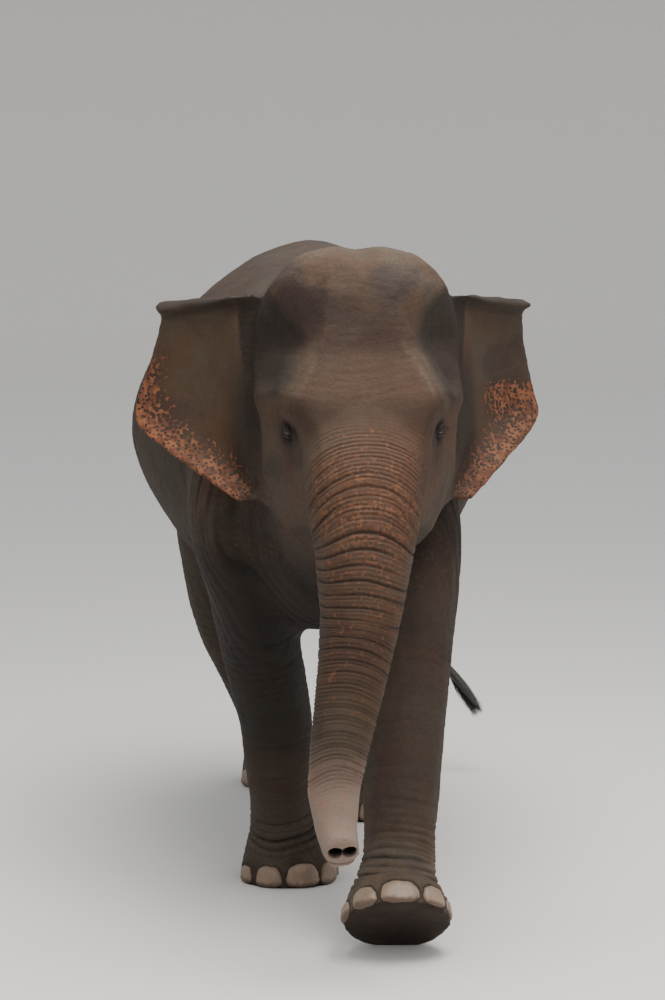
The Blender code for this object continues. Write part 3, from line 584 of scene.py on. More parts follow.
ears = {}
masks["ear"] = np.zeros(len(points))
rim_distance = np.full(len(points), 1.0)
for name in ("ear_left", "ear_right"):
    mask, away = ear_mask(name)
    masks["ear"] = np.maximum(masks["ear"], mask)
    rim_distance = np.minimum(rim_distance, away)
masks["ear"] = averaged(masks["ear"], edges, 6)[:, 0]
masks["sole"] = sum(sole_mask(name) for name in LEG_NAMES)
trunk_run, trunk_away = on_line(points, trunk_line)
trunk_length = on_line(TRUNK_END[None], trunk_line)[0][0]
before_neck = fade(points[:, 1], BETWEEN_EYES.y + 0.06, BETWEEN_EYES.y - 0.02)
trunk_start = trunk_length * 0.17
below_brow = fade(trunk_run, trunk_start - 0.10, trunk_start + 0.04)
masks["trunk"] = before_neck * fade(trunk_away, 0.30, 0.24) * (1 - masks["ear"]) * below_brow
print("masks:", {name: round(float(mask.mean()), 3) for name, mask in masks.items()})

# %% [markdown]
# ## Eyelids
# The eye of an elephant is small and deep in its own hollow, under a heavy upper lid. The hide
# over the eyeball is laid out again in the eye's own directions: out of the head, along the slit
# and across it. Outside the slit it follows a ball a little larger than the eye; inside the slit
# it drops away behind the eyeball, which leaves a real lid with a thick edge.

# %% Lids
LID = 0.0042  # thickness of a lid
SLIT_HALF = 0.0245
SLIT_TOP = 0.0120
SLIT_LOW = 0.0115
SLIT_SLOPE = math.radians(-30)  # the slit falls towards the trunk
LID_REACH = 0.052


def eye_frame(side):
    """Directions at an eye: out of the head, forwards along the slit, and up across it."""
    out = Vector((0.90 * side, -0.43, 0.03)).normalized()
    ahead = Vector((0, 0, 1)).cross(out).normalized() * side
    if ahead.y > 0:
        ahead = -ahead
    up = out.cross(ahead)
    if up.z < 0:
        up = -up
    slope = SLIT_SLOPE
    along = ahead * math.cos(slope) + up * math.sin(slope)
    across = up * math.cos(slope) - ahead * math.sin(slope)
    return [np.array(v) for v in (out, along, across)]


def slit_height(a):
    """Half the height of the slit, above and below, at a place along it."""
    shape = np.clip(1 - (a / SLIT_HALF) ** 2, 0, 1) ** 0.8
    return SLIT_TOP * shape, SLIT_LOW * shape


def sculpt_eye(points, side, fold):
    """Moves the hide round one eye, and adds its folds to fold."""
    centre = np.array(EYES[side])
    out, along, across = eye_frame(side)
    near = np.nonzero(np.linalg.norm(points - centre, axis=1) < 0.10)[0]
    offset = points[near] - centre
    a, b, c = offset @ along, offset @ across, offset @ out
    flat = np.hypot(a, b)
    front = c > -0.03
    ring = front & (flat > 0.048) & (flat < 0.085)
    terms = np.stack([np.ones_like(a), a, b, a * a, a * b, b * b], axis=1)
    fit = np.linalg.lstsq(terms[ring], c[ring], rcond=None)[0]
    ground = terms @ fit
    ground -= 0.007 * fade(flat, 0.050, 0.018)
    ball = np.sqrt(np.clip((EYE_RADIUS + LID) ** 2 - a * a - (b * 0.92) ** 2, 0, None))
    ball = np.where(ball > 0, ball, -0.02)
    soft = 0.006
    lids = np.logaddexp(ground / soft, ball / soft) * soft
    top, low = slit_height(a)
    over = np.where(b > 0, b - top, -b - low)
    over = np.where(np.abs(a) > SLIT_HALF, np.hypot(np.abs(a) - SLIT_HALF, b), over)
    brow = np.exp(-((over - 0.0105) / 0.0022) ** 2) * (b > 0) * fade(np.abs(a), 0.036, 0.022)
    second = np.exp(-((over - 0.019) / 0.0028) ** 2) * (b > 0) * fade(np.abs(a), 0.044, 0.026)
    pouch = np.exp(-((over - 0.0085) / 0.0020) ** 2) * (b <= 0) * fade(np.abs(a), 0.034, 0.020)
    bag = np.exp(-((over - 0.0165) / 0.0026) ** 2) * (b <= 0) * fade(np.abs(a), 0.040, 0.024)
    edge = np.exp(-((over - 0.0015) / 0.0022) ** 2)
    groove = 0.0042 * brow + 0.0030 * second + 0.0026 * pouch + 0.0022 * bag
    lids = lids - groove + 0.0012 * edge
    weight = fade(flat, LID_REACH, LID_REACH * 0.62) * front
    target = np.where(over < 0, -0.004, lids)
    weight = np.where(over < 0, 1.0 * front, weight)
    c = c + (target - c) * weight
    points[near] = centre + a[:, None] * along + b[:, None] * across + c[:, None] * out
    fold[near] = np.maximum(fold[near], (brow + 0.7 * second + 0.7 * pouch + 0.5 * bag) * weight)
    return near, a, b, over, front


fold = np.zeros(len(points))
masks["wet"] = np.zeros(len(points))
masks["hollow"] = np.zeros(len(points))
for side in (1, -1):
    near, a, b, over, front = sculpt_eye(points, side, fold)
    rim = fade(over, 0.006, 0.0015) * front
    tear = np.exp(-(((a - 0.045) / 0.022) ** 2) - (((b + 0.004) / 0.015) ** 2)) * front
    masks["wet"][near] = np.maximum(masks["wet"][near], np.maximum(rim, 0.6 * tear))
    # The hollow mask darkens the lid rims, the wet tear stain and, as painted shade, the eye's hollow.
    shade = 0.92 * fade(np.hypot((a - 0.014) / 0.080, (b + 0.006) / 0.060), 1.0, 0.42) * front
    masks["hollow"][near] = np.maximum.reduce([masks["hollow"][near], 0.9 * rim, tear, shade])
set_points(hide, points)
print("lids shaped round", len(near), "points an eye")

# %% [markdown]
# ## Nostrils
# The trunk ends in a slanting face with two wide nostrils side by side, a finger above them and a
# soft lip below. The remeshed hide closes such small holes, so they are pressed in again: within
# an oval the hide sinks along the trunk, and a rim swells round it.

# %% Nostrils
TIP_WAY = np.array((0.03, -0.910, -0.410))
NOSTRIL_PLACE = np.array((-0.0666, -1.6482, 0.4390))  # between the two
NOSTRIL_HALF = np.array((0.0205, 0.0165))
NOSTRIL_APART = 0.0220  # of each from the middle
NOSTRIL_DEPTH = 0.048


def softened(points, weight, turns):
    """Evens out places by their neighbours, as far as weight says."""
    chosen = np.nonzero(weight[edges].max(axis=1) > 0)[0]
    near = edges[chosen]
    spots, inverse = np.unique(near, return_inverse=True)
    near = inverse.reshape(near.shape)
    own = points[spots].copy()
    much = weight[spots][:, None]
    count = np.bincount(near.ravel(), minlength=len(spots))[:, None]
    for _ in range(turns):
        total = np.zeros_like(own)
        for axis in range(3):
            total[:, axis] = np.bincount(near[:, 0], own[near[:, 1], axis], len(spots))
            total[:, axis] += np.bincount(near[:, 1], own[near[:, 0], axis], len(spots))
        own += 0.5 * much * (total / count - own)
    points = points.copy()
    points[spots] = own
    return points


tip_way = TIP_WAY / np.linalg.norm(TIP_WAY)
tip_side = np.cross(tip_way, (0, 0, 1))
tip_side /= np.linalg.norm(tip_side)
tip_up = np.cross(tip_side, tip_way)
tip_reach = (node_points("trunk_tip") @ tip_way).max()
face_low = ((node_points("trunk_tip") - NOSTRIL_PLACE) @ tip_up).min()
points = softened(points, near_tip(points, 0.12) ** 0.5, 90)
set_points(hide, points)
points = points + get_normals(hide) * (0.0045 * near_tip(points, 0.12) ** 0.5)[:, None]
a = (points - NOSTRIL_PLACE) @ tip_side
b = (points - NOSTRIL_PLACE) @ tip_up
behind = tip_reach - points @ tip_way
oval = np.hypot((np.abs(a) - NOSTRIL_APART) / NOSTRIL_HALF[0], b / NOSTRIL_HALF[1])
at_tip = (behind < 0.040) & (np.abs(a) < 0.09) & (np.abs(b) < 0.10) & (behind > -0.03)
sunk = NOSTRIL_DEPTH * fade(oval, 1.10, 0.60) * at_tip
swollen = 0.0032 * np.exp(-(((oval - 1.32) / 0.20) ** 2)) * at_tip
finger = 0.0075 * np.exp(-((a / 0.020) ** 2) - (((b - 0.036) / 0.014) ** 2)) * at_tip
lip_line = np.exp(-(((b - face_low - 0.021 - 0.006 * (a / 0.04) ** 2) / 0.0035) ** 2)) * at_tip
points = points + tip_way * (swollen + finger - sunk - 0.003 * lip_line)[:, None]
nostril = fade(oval, 1.12, 0.92) * (at_tip | ((oval < 1) & (behind < 0.12) & (np.abs(b) < 0.02)))
set_points(hide, points)
fold = np.maximum(fold, 0.7 * lip_line)
print("nostrils pressed in:", int((sunk > 0).sum()), "points")

# %% [markdown]
# ## Folds and wrinkles
# The hide is too large for the animal, so it lies in folds: deep rings across the trunk, finer
# ones up to between the eyes, crumpled bands round the ankles, slack upright folds behind the
# elbows and on the neck, and a fine net everywhere else. All are pressed in along the normals.

# %% Relief
COAT_DEPTH = 0.0025  # the hide lies this far inside the solids, and its ridges reach them
TRUNK_RING = 0.040
TRUNK_LINE = 0.0130


def trunk_relief():
    """Rings across the trunk: deep ones far apart, and fine ones between them."""
    run = trunk_run
    middle = np.interp(run, [0.5, 1.5], [mid_x, TRUNK_END[0]])
    half_width = np.interp(run, [0.3, 1.5], [0.20, 0.085])
    side = np.clip(np.abs(points[:, 0] - middle) / half_width, 0, 1.2)
    bent = run - np.interp(run, [0.3, 0.6, 1.5], [0.02, 0.055, 0.03]) * side**2
    bent += 0.005 * noise(points, 0.10, 3)
    rings = creases(bent, TRUNK_RING, 0.0052, points, 11, 0.30, 0.22)
    rings *= fade(run, trunk_start + 0.12, trunk_start + 0.24)
    rings *= fade(run, trunk_length - 0.26, trunk_length - 0.44)
    lines = creases(bent, TRUNK_LINE, 0.0034, points, 23, 0.22, 0.10)
    lines *= fade(run, trunk_start - 0.03, trunk_start + 0.10)
    lines *= fade(run, trunk_length - 0.16, trunk_length - 0.30) * (1 - 0.7 * rings)
    low = fade(run, trunk_start + 0.50, trunk_start + 0.85)
    depth = (0.0068 * (1 - 0.5 * low) * rings + (0.0026 + 0.0012 * low) * lines) * masks["trunk"]
    return depth, ((1 - 0.4 * low) * rings + (0.45 + 0.25 * low) * lines) * masks["trunk"]


def leg_relief(name):
    """Crumpled rings round a leg, deepest at the ankle."""
    chosen = np.nonzero((points[:, 2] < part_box("leg_" + name)[1].z + 0.12))[0]
    run, away = on_line(points[chosen], leg_lines[name])
    total = on_line(leg_lines[name][-1:], leg_lines[name])[0][0]
    place = points[chosen]
    reach = np.interp(place[:, 2], [0.45, 0.80], [0.31, 0.24])
    own = fade(away, reach, reach - 0.04)
    ankle = np.exp(-(((total - run - 0.190) / 0.085) ** 2))
    shank = fade(run, total - 0.10, total - 0.22)
    seed = 40 + 3 * LEG_NAMES.index(name)
    bent = run + 0.010 * noise(place, 0.12, seed)
    bands = creases(bent, 0.031, 0.0062, place, seed, 0.45, 0.16)
    lines = creases(bent, 0.0165, 0.0045, place, seed + 1, 0.40, 0.09)
    slack = fade(noise(place, 0.22, seed + 2), -0.4, 0.5)
    depth = bands * (0.0088 * ankle + 0.0034 * shank * slack)
    depth += lines * (0.0036 * ankle + 0.0021 * shank)
    mark = bands * (ankle + 0.45 * shank * slack) + 0.55 * lines * np.maximum(ankle, 0.8 * shank)
    total_depth = np.zeros(len(points))
    total_mark = np.zeros(len(points))
    total_depth[chosen] = depth * own
    total_mark[chosen] = np.minimum(mark, 1) * own
    return total_depth, total_mark


def body_relief():
    """Slack upright folds on the neck, the shoulders and the flanks, and the hide's fine net."""
    x, y, z = points.T
    above = fade(z, 0.72, 0.95)
    smooth_places = np.maximum(np.maximum(masks["ear"], masks["trunk"]), masks["sole"])
    rest = (1 - smooth_places) * above
    neck_low, neck_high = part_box("neck")
    neck = np.exp(-(((y - neck_high.y - 0.02) / 0.20) ** 2))
    elbow = np.exp(-(((y - neck_high.y - 0.62) / 0.16) ** 2) - (((z - 1.12) / 0.28) ** 2))
    groin = np.exp(-(((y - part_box("leg_hind_left")[0].y + 0.02) / 0.20) ** 2) - (((z - 1.10) / 0.26) ** 2))
    loose = np.clip(neck + elbow + groin, 0, 1) * rest
    rest = rest * (1 - 0.55 * fade(y, neck_high.y, neck_low.y))
    sway = y + 0.05 * noise(points, 0.35, 61) + 0.12 * (z - 1.4) * np.sign(0.6 - y)
    folds = creases(sway, 0.060, 0.0120, points, 63, 0.55, 0.30)
    fine = creases(sway, 0.026, 0.0060, points, 65, 0.55, 0.14)
    level = creases(z + 0.03 * noise(points, 0.2, 66), 0.028, 0.0060, points, 67, 0.6, 0.16)
    depth = loose * (0.0062 * folds + 0.0020 * fine) + rest * (0.0012 * fine + 0.0014 * level)
    mark = loose * (0.9 * folds + 0.35 * fine) + rest * 0.22 * (fine + level)
    return depth, mark


def net_relief():
    """The net of small creases that covers all but the ears and the trunk's end."""
    stretched = points * np.array([1, 1, 1.25]) + 0.006 * noise(points, 0.02, 71)[:, None]
    gap = cracks(stretched, 0.026, 73)
    net = fade(gap, 0.20, 0.02)
    where = 1 - np.maximum(0.75 * masks["ear"], 0.7 * masks["trunk"])
    where = where * (1 - 0.4 * fade(points[:, 1], BETWEEN_EYES.y + 0.3, BETWEEN_EYES.y))
    return 0.0011 * net * where, 0.30 * net * where


def swells():
    """Broad soft lumps of muscle, bone and fat, outward, in metres."""
    body = 1 - np.maximum(masks["ear"], masks["trunk"])
    return body * (0.0050 * noise(points, 0.30, 81) + 0.0022 * noise(points, 0.11, 82))


def from_nails():
    """How far each point near the floor is from the nearest toenail."""
    shape = bmesh.new()
    for name in NAILS:
        shape.from_mesh(nodes[name].data)
    tree = BVHTree.FromBMesh(shape)
    shape.free()
    away = np.full(len(points), 1.0)
    for index in np.nonzero(sum(in_box(points, "foot_" + n, 0.03) for n in LEG_NAMES) > 0)[0]:
        found = tree.find_nearest(Vector(points[index]), 0.04)
        if found[0] is not None:
            away[index] = found[3]
    return away


nail_distance = from_nails()
depth = np.zeros(len(points))
for found, mark in [trunk_relief(), body_relief(), net_relief()] + [leg_relief(n) for n in LEG_NAMES]:
    depth += found
    fold = np.maximum(fold, mark)
eye_zone = near_eye(points, 0.075)
standing = (points[:, 2] < 0.004) & (masks["sole"] > 0.3)
calm = (1 - eye_zone) * (1 - 0.85 * masks["sole"]) * (1 - 0.9 * nostril)
cuticle = np.exp(-(((nail_distance - 0.0095) / 0.0045) ** 2)) * (points[:, 2] > 0.012)
lift = swells() - depth + 0.0042 * cuticle
coat = COAT_DEPTH * (1 - fade(near_eye(points, 0.05), 0, 0.3))
points = points + get_normals(hide) * (lift * calm - coat)[:, None]
lifted = in_box(points, "foot_front_left", 0.02)
points = softened(points, lifted * fade(points[:, 2], 0.085, 0.045), 60)
heel_low = np.percentile(points[lifted, 2], 0.4)
points[:, 2] -= heel_low * lifted * fade(points[:, 2], 0.070, heel_low)
points[standing & ~lifted, 2] = 0
points[:, 2] = np.maximum(points[:, 2], 0)
set_points(hide, points)
masks["fold"] = np.clip(fold, 0, 1)
print("deepest fold", round(float(depth.max()) * 1000, 1), "mm")

# %% [markdown]
# ## Where the hide is freckled, dark, dusty or pale
# Elephants lose their grey with age from the ears' edges, the trunk and the throat: the bare
# orange-pink skin shows there between dark dots. The masks say only how much of it there is; the
# dots themselves are made in the material. Shade is painted dark into the eye hollows, the temples,
# the throat, under the jaw, the trunk and the belly, below the ears' tops, between the toes and on
# the left ear; the legs are darker too, partly as hide and partly as painted shade, the right fore
# leg most. Dust lies on the back, the brow and the feet, and a painted highlight runs along the
# brow's ridges in the same mask.

# %% Colour masks
ways_out = get_normals(hide)
ear_start = 1.98 - 0.09 * fade(points[:, 0], 0, 0.2)  # lower on the left ear
ear_start += 0.05 * noise(points, 0.05, 89)
ear_low = fade(points[:, 2], ear_start, ear_start - 0.12)
ear_front = fade(ways_out[:, 1], 0.35, -0.1)
rim_reach = np.interp(points[:, 2], [1.45, 1.60, 1.75, 1.90], [0.15, 0.18, 0.18, 0.08])
freckled = fade(rim_distance, rim_reach, 0.01) * ear_low * masks["ear"] * (0.35 + 0.65 * ear_front)
run = trunk_run
nose = np.exp(-(((run - trunk_start - 0.27) / 0.21) ** 2))
nose = nose + 0.45 * np.exp(-(((run - 0.95) / 0.30) ** 2))
facing = fade(ways_out[:, 1], 0.0, -0.75)
warm = np.clip(nose, 0, 1) * masks["trunk"] * facing
freckled = np.maximum(freckled, 0.62 * warm)
throat_place = np.abs(points - np.array((mid_x, BETWEEN_EYES.y + 0.42, 1.34)))
throat = fade(np.sqrt(((throat_place / np.array((0.62, 0.34, 0.34))) ** 2).sum(axis=1)), 1.0, 0.45)
throat *= (1 - masks["trunk"]) * (1 - masks["ear"])
masks["freckled"] = np.clip(np.maximum(freckled, 0.55 * throat), 0, 1)
ear_warm = 0.6 * fade(rim_distance, 1.2 * rim_reach, 0.02) * ear_low * masks["ear"]
face_warm = 0.9 * np.exp(-(((run - trunk_start + 0.06) / 0.20) ** 2)) * before_neck * facing
masks["warm"] = np.clip(np.maximum.reduce([warm, ear_warm, face_warm]), 0, 1)


def shade_patch(place, reach, strength):
    """A patch of painted shade on both sides of the head."""
    found = np.zeros(len(points))
    for side in (1, -1):
        centre = np.array((mid_x + place[0] * side, BETWEEN_EYES.y + place[1], BETWEEN_EYES.z + place[2]))
        away = np.sqrt((((points - centre) / np.array(reach)) ** 2).sum(axis=1))
        found = np.maximum(found, strength * fade(away, 1.0, 0.25))
    return found


dark = masks["hollow"]
for place, reach, strength in (
    ((0.36, 0.34, 0.00), (0.10, 0.24, 0.40), 0.85),  # painted shade in front of the ears
    ((0.235, -0.10, -0.06), (0.05, 0.08, 0.10), 0.55),  # painted shade below the eyes
    ((0.26, 0.10, -0.45), (0.14, 0.30, 0.16), 0.55),  # painted shade under the jaw
    ((0.236, -0.040, -0.012), (0.068, 0.12, 0.074), 0.90),  # painted shade round the eyes
):
    dark = np.maximum(dark, shade_patch(place, reach, strength))
# Shade is painted on the temples outside a ridge that narrows upwards from the brow, then widens again, and a
# painted highlight runs just inside the ridge.
rise = points[:, 2] - BETWEEN_EYES.z
from_middle = np.abs(points[:, 0] - mid_x + 0.02 * fade(rise, 0.1, 0.4)) + 0.018 * noise(points, 0.07, 87)
ridge = np.interp(rise, [0.085, 0.30, 0.39, 0.50], [0.270, 0.150, 0.205, 0.330])
front_of_head = fade(points[:, 1], BETWEEN_EYES.y + 0.55, BETWEEN_EYES.y + 0.40) * (1 - masks["ear"])
spread = 0.10 * fade(points[:, 1], BETWEEN_EYES.y, BETWEEN_EYES.y + 0.25)
back_wobble = 0.03 * noise(points, 0.10, 88)
temple_shade = fade(from_middle, ridge - 0.012, ridge + 0.050)
temple_shade = temple_shade * fade(rise + back_wobble, 0.060 - spread, 0.125 + spread) * fade(rise, 0.60, 0.42)
# A painted highlight along the inner edge of the ridge.
ridge_highlight = np.exp(-(((from_middle - ridge + 0.026) / 0.016) ** 2)) * fade(rise, 0.08, 0.13)
ridge_highlight *= fade(rise, 0.34, 0.26) * front_of_head
face_front = before_neck * facing * np.exp(-(((rise + 0.01) / 0.16) ** 2))
face_front = face_front * fade(run, trunk_start + 0.10, trunk_start - 0.05)
forehead = 0.38 * before_neck * facing * fade(rise, 0.05, 0.15)
dark = np.maximum.reduce([dark, 0.86 * temple_shade * front_of_head, 0.88 * face_front, forehead])
behind_neck = BETWEEN_EYES.y + 0.55
torso_dark = 0.52 * fade(points[:, 1], behind_neck, behind_neck + 0.25)
# Painted shade on the left ear.
left_ear_shade = 0.22 * masks["ear"] * fade(points[:, 0], 0.0, 0.3)
dark = np.maximum.reduce([dark, torso_dark, left_ear_shade])
# Painted shade on the trunk's side that faces the chest.
under_trunk_shade = masks["trunk"] * fade(ways_out[:, 1], -0.15, 0.5) * 0.5
# The legs are darkened, partly as darker hide and partly as painted shade, the right fore leg most.
upright = fade(points[:, 2], 1.42, 1.18) * fade(points[:, 2], 0.22, 0.62)
on_right = fade(points[:, 0], 0.02, -0.06)
on_legs = fade(points[:, 2], 1.15, 0.95) * fade(points[:, 1], 0.45, 0.30)
on_legs = np.maximum(fade(points[:, 1], 0.30, 0.0), on_legs)
leg_tone_and_shade = on_legs * (1 - masks["trunk"]) * upright * (0.50 + 0.46 * on_right)
# Painted shade on faces that look down.
belly_shade = 0.5 * fade(hide_normals[:, 2], -0.2, -0.8) * fade(points[:, 2], 0.7, 0.9)
# Painted shadow under the forward fold at the top of each ear.
ear_top_shadow = masks["ear"] * fade(points[:, 2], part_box("ear_left")[1].z - 0.09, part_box("ear_left")[1].z - 0.03)
# Painted shade between and round the toenails.
toe_gap_shade = 0.85 * np.exp(-((nail_distance / 0.010) ** 2)) * (1 - masks["sole"])
# The throat's darkness here is painted shade under the head; its freckles are its own colour.
dark = np.maximum.reduce([dark, under_trunk_shade, leg_tone_and_shade, belly_shade, 0.85 * ear_top_shadow, 0.85 * throat, toe_gap_shade])
masks["dark"] = np.clip(dark, 0, 1)

stain = np.zeros(len(points))
for place, reach, strength in (
    ((-0.15, -0.02, 0.39), (0.13, 0.20, 0.085), 1.0),
    ((-0.25, 0.10, 0.50), (0.07, 0.20, 0.06), 0.9),
    ((0.10, 0.00, 0.50), (0.10, 0.20, 0.07), 0.8),
    ((0.05, -0.10, 0.30), (0.06, 0.20, 0.05), 0.6),
):
    offset = (points - np.array(BETWEEN_EYES) - np.array(place)) / np.array(reach)
    away = np.sqrt((offset**2).sum(axis=1))
    away += 0.35 * noise(points, 0.06, 85) + 0.15 * noise(points, 0.02, 86)
    stain = np.maximum(stain, strength * fade(away, 1.1, 0.6))
masks["stain"] = stain * (points[:, 1] < BETWEEN_EYES.y + 0.5)
masks["nostril"] = nostril
masks["pale"] = fade(run, trunk_length - 0.42, trunk_length - 0.20) * masks["trunk"]
up = fade(ways_out[:, 2], 0.15, 0.9)
feet_dust = fade(points[:, 2], 0.40, 0.12)
# Dust on upward faces and on the feet, and the painted highlight along the brow ridges, share the dust mask.
dust = np.maximum.reduce([0.28 * up, feet_dust, 0.75 * ridge_highlight])
masks["dust"] = np.clip(dust, 0, 1) * (1 - masks["sole"])
print("freckled share", round(float(masks["freckled"].mean()), 3))

# %% [markdown]
# ## The unwrap
# The hide is unwrapped on its own shape. Bristles later take their colour's place from it: each
# is a patch a few thousandths across at its root.

# %% Unwrap
bpy.context.view_layer.objects.active = hide
for other in bpy.context.selected_objects:
    other.select_set(False)
hide.select_set(True)
hide.data.uv_layers.new(name="OFBake")
calm_points = averaged(points, get_edges(hide), 8)
set_points(hide, calm_points)
bpy.ops.object.mode_set(mode="EDIT")
bpy.ops.mesh.select_all(action="SELECT")
bpy.ops.uv.smart_project(angle_limit=math.radians(80), island_margin=0.001)
bpy.ops.object.mode_set(mode="OBJECT")
set_points(hide, points)
print("unwrapped", len(hide.data.polygons), "faces")

for name, mask in masks.items():
    keep_mask(hide.data, name, mask)

# %% [markdown]
# ## The hide's finish
# Effects that finishes share are node groups: dark dots that shrink on bare hide as its amount
# grows, a net of fine cracks, and dust. They give out only masks and heights. The shader itself
# stays in the material, with its plain numbers set on its own sockets.

# %% Node helpers


class Nodes:
    """Short ways to add nodes to a tree and join them."""

    def __init__(self, tree):
        self.tree = tree

    def add(self, kind, inputs=(), **settings):
        node = self.tree.nodes.new(kind)
        for name, value in settings.items():
            setattr(node, name, value)
        for key, value in dict(inputs).items():
            if isinstance(value, bpy.types.NodeSocket):
                self.tree.links.new(value, node.inputs[key])
            else:
                node.inputs[key].default_value = value
        return node

    def math(self, operation, *values, clamp=False):
        inputs = dict(enumerate(values))
        return self.add("ShaderNodeMath", inputs, operation=operation, use_clamp=clamp).outputs[0]

    def mix(self, factor, one, two, blend="MIX"):
        inputs = {0: factor, 6: one, 7: two}  # the colour sockets of a node that mixes many kinds
        return self.add("ShaderNodeMix", inputs, data_type="RGBA", blend_type=blend).outputs[2]

    def noise(self, where, scale, detail=2.0, rough=0.5, **more):
        inputs = {"Vector": where, "Scale": scale, "Detail": detail, "Roughness": rough, **more}
        return self.add("ShaderNodeTexNoise", inputs).outputs["Fac"]

    def cells(self, where, scale, feature="DISTANCE_TO_EDGE"):
        inputs = {"Vector": where, "Scale": scale}
        return self.add("ShaderNodeTexVoronoi", inputs, feature=feature).outputs["Distance"]

    def step(self, value, start, end):
        """0 up to start, 1 from end on, smooth between."""
        inputs = {"Value": value, "From Min": start, "From Max": end}
        node = self.add("ShaderNodeMapRange", inputs, interpolation_type="SMOOTHSTEP")
        return node.outputs["Result"]

    def mask(self, name):
        return self.add("ShaderNodeAttribute", attribute_name=name).outputs["Fac"]

    def place(self):
        return self.add("ShaderNodeTexCoord").outputs["Object"]

    def link(self, value, socket):
        self.tree.links.new(value, socket)


def new_group(name, ins, outs):
    """An empty node group with float or vector inputs, given as name: default."""
    tree = bpy.data.node_groups.new(name, "ShaderNodeTree")
    for label, default in ins.items():
        kind = "NodeSocketVector" if default is None else "NodeSocketFloat"
        socket = tree.interface.new_socket(label, in_out="INPUT", socket_type=kind)
        if default is not None:
            socket.default_value = default
    for label in outs:
        tree.interface.new_socket(label, in_out="OUTPUT", socket_type="NodeSocketFloat")
    made = Nodes(tree)
    return made, made.add("NodeGroupInput").outputs, made.add("NodeGroupOutput").inputs


# %% Shared effects


def freckle_group():
    """Bare hide round dark dots. The dots shrink, and more hide is bare, as Amount nears 1."""
    made, ins, outs = new_group("freckles", {"Place": None, "Amount": 0.5, "Scale": 60.0}, ["Mask"])
    grain = made.noise(ins["Place"], made.math("MULTIPLY", ins["Scale"], 0.9), 3.0, 0.6)
    from_dot = made.cells(ins["Place"], ins["Scale"], "F1")
    size = made.math("MULTIPLY_ADD", ins["Amount"], -0.55, 0.90)
    size = made.math("ADD", size, made.math("MULTIPLY_ADD", grain, 0.50, -0.25))
    found = made.step(made.math("SUBTRACT", from_dot, size), -0.05, 0.07)
    some = made.step(ins["Amount"], 0.02, 0.12)
    made.link(made.math("MULTIPLY", found, some), outs["Mask"])
    return made.tree


def crackle_group():
    """The height of hide cracked into small plates, and a mask of the cracks."""
    made, ins, outs = new_group("crackle", {"Place": None, "Scale": 60.0}, ["Height", "Cracks"])
    bend = made.add("ShaderNodeTexNoise", {"Vector": ins["Place"], "Scale": 25.0, "Detail": 2.0})
    shift = {0: bend.outputs["Color"], 1: (0.012, 0.012, 0.012)}
    away = made.add("ShaderNodeVectorMath", shift, operation="MULTIPLY")
    bent = made.add("ShaderNodeVectorMath", {0: ins["Place"], 1: away.outputs[0]}, operation="ADD").outputs[0]
    large = made.step(made.cells(bent, ins["Scale"]), 0.0, 0.16)
    small = made.step(made.cells(bent, made.math("MULTIPLY", ins["Scale"], 2.6)), 0.0, 0.20)
    grain = made.noise(ins["Place"], made.math("MULTIPLY", ins["Scale"], 6.0), 3.0, 0.6)
    height = made.math("MULTIPLY_ADD", large, 0.55, made.math("MULTIPLY", grain, 0.25))
    height = made.math("MULTIPLY_ADD", small, 0.35, height)
    made.link(height, outs["Height"])
    made.link(made.math("SUBTRACT", 1.0, made.math("MULTIPLY", large, small)), outs["Cracks"])
    return made.tree


def dust_group():
    """Patchy dust, as a mask, for an Amount from 0 to 1."""
    made, ins, outs = new_group("dust", {"Place": None, "Amount": 0.5}, ["Mask"])
    patches = made.noise(ins["Place"], 5.0, 6.0, 0.6)
    grains = made.noise(ins["Place"], 160.0, 2.0, 0.7)
    level = made.math("ADD", made.math("MULTIPLY", patches, 0.75), made.math("MULTIPLY", grains, 0.35))
    found = made.step(level, 0.40, 0.70)
    made.link(made.math("MULTIPLY", found, ins["Amount"]), outs["Mask"])
    return made.tree


FRECKLES = freckle_group()
CRACKLE = crackle_group()
DUST = dust_group()


def use(made, tree, inputs):
    return made.add("ShaderNodeGroup", inputs, node_tree=tree).outputs


def new_material(name):
    """A material with its own Principled BSDF, and the helper to build on."""
    material = bpy.data.materials.new(name)
    material.use_nodes = True
    return material, Nodes(material.node_tree), material.node_tree.nodes["Principled BSDF"]


# %% Hide
BROWN = linear(77, 57, 41)
REDDISH = linear(84, 56, 38)
MAUVE = linear(54, 40, 40)
ASH = linear(80, 68, 55)
DARK = linear(22, 18, 15)
ORANGE = linear(150, 92, 60)
RUST = linear(104, 58, 36)
WARM = linear(96, 64, 42)
PALE = linear(134, 116, 104)
PINK = linear(140, 113, 100)
SOLE = linear(38, 27, 20)
# pale dust, also used for the painted highlight along the brow ridges
DUST_AND_HIGHLIGHT = linear(124, 110, 94)
# near black, painted shade inside the nostrils
NOSTRIL_SHADE = linear(10, 8, 7)
TIP_SPECK = linear(88, 76, 70)
SCUFFED_SOLE = linear(52, 39, 30)


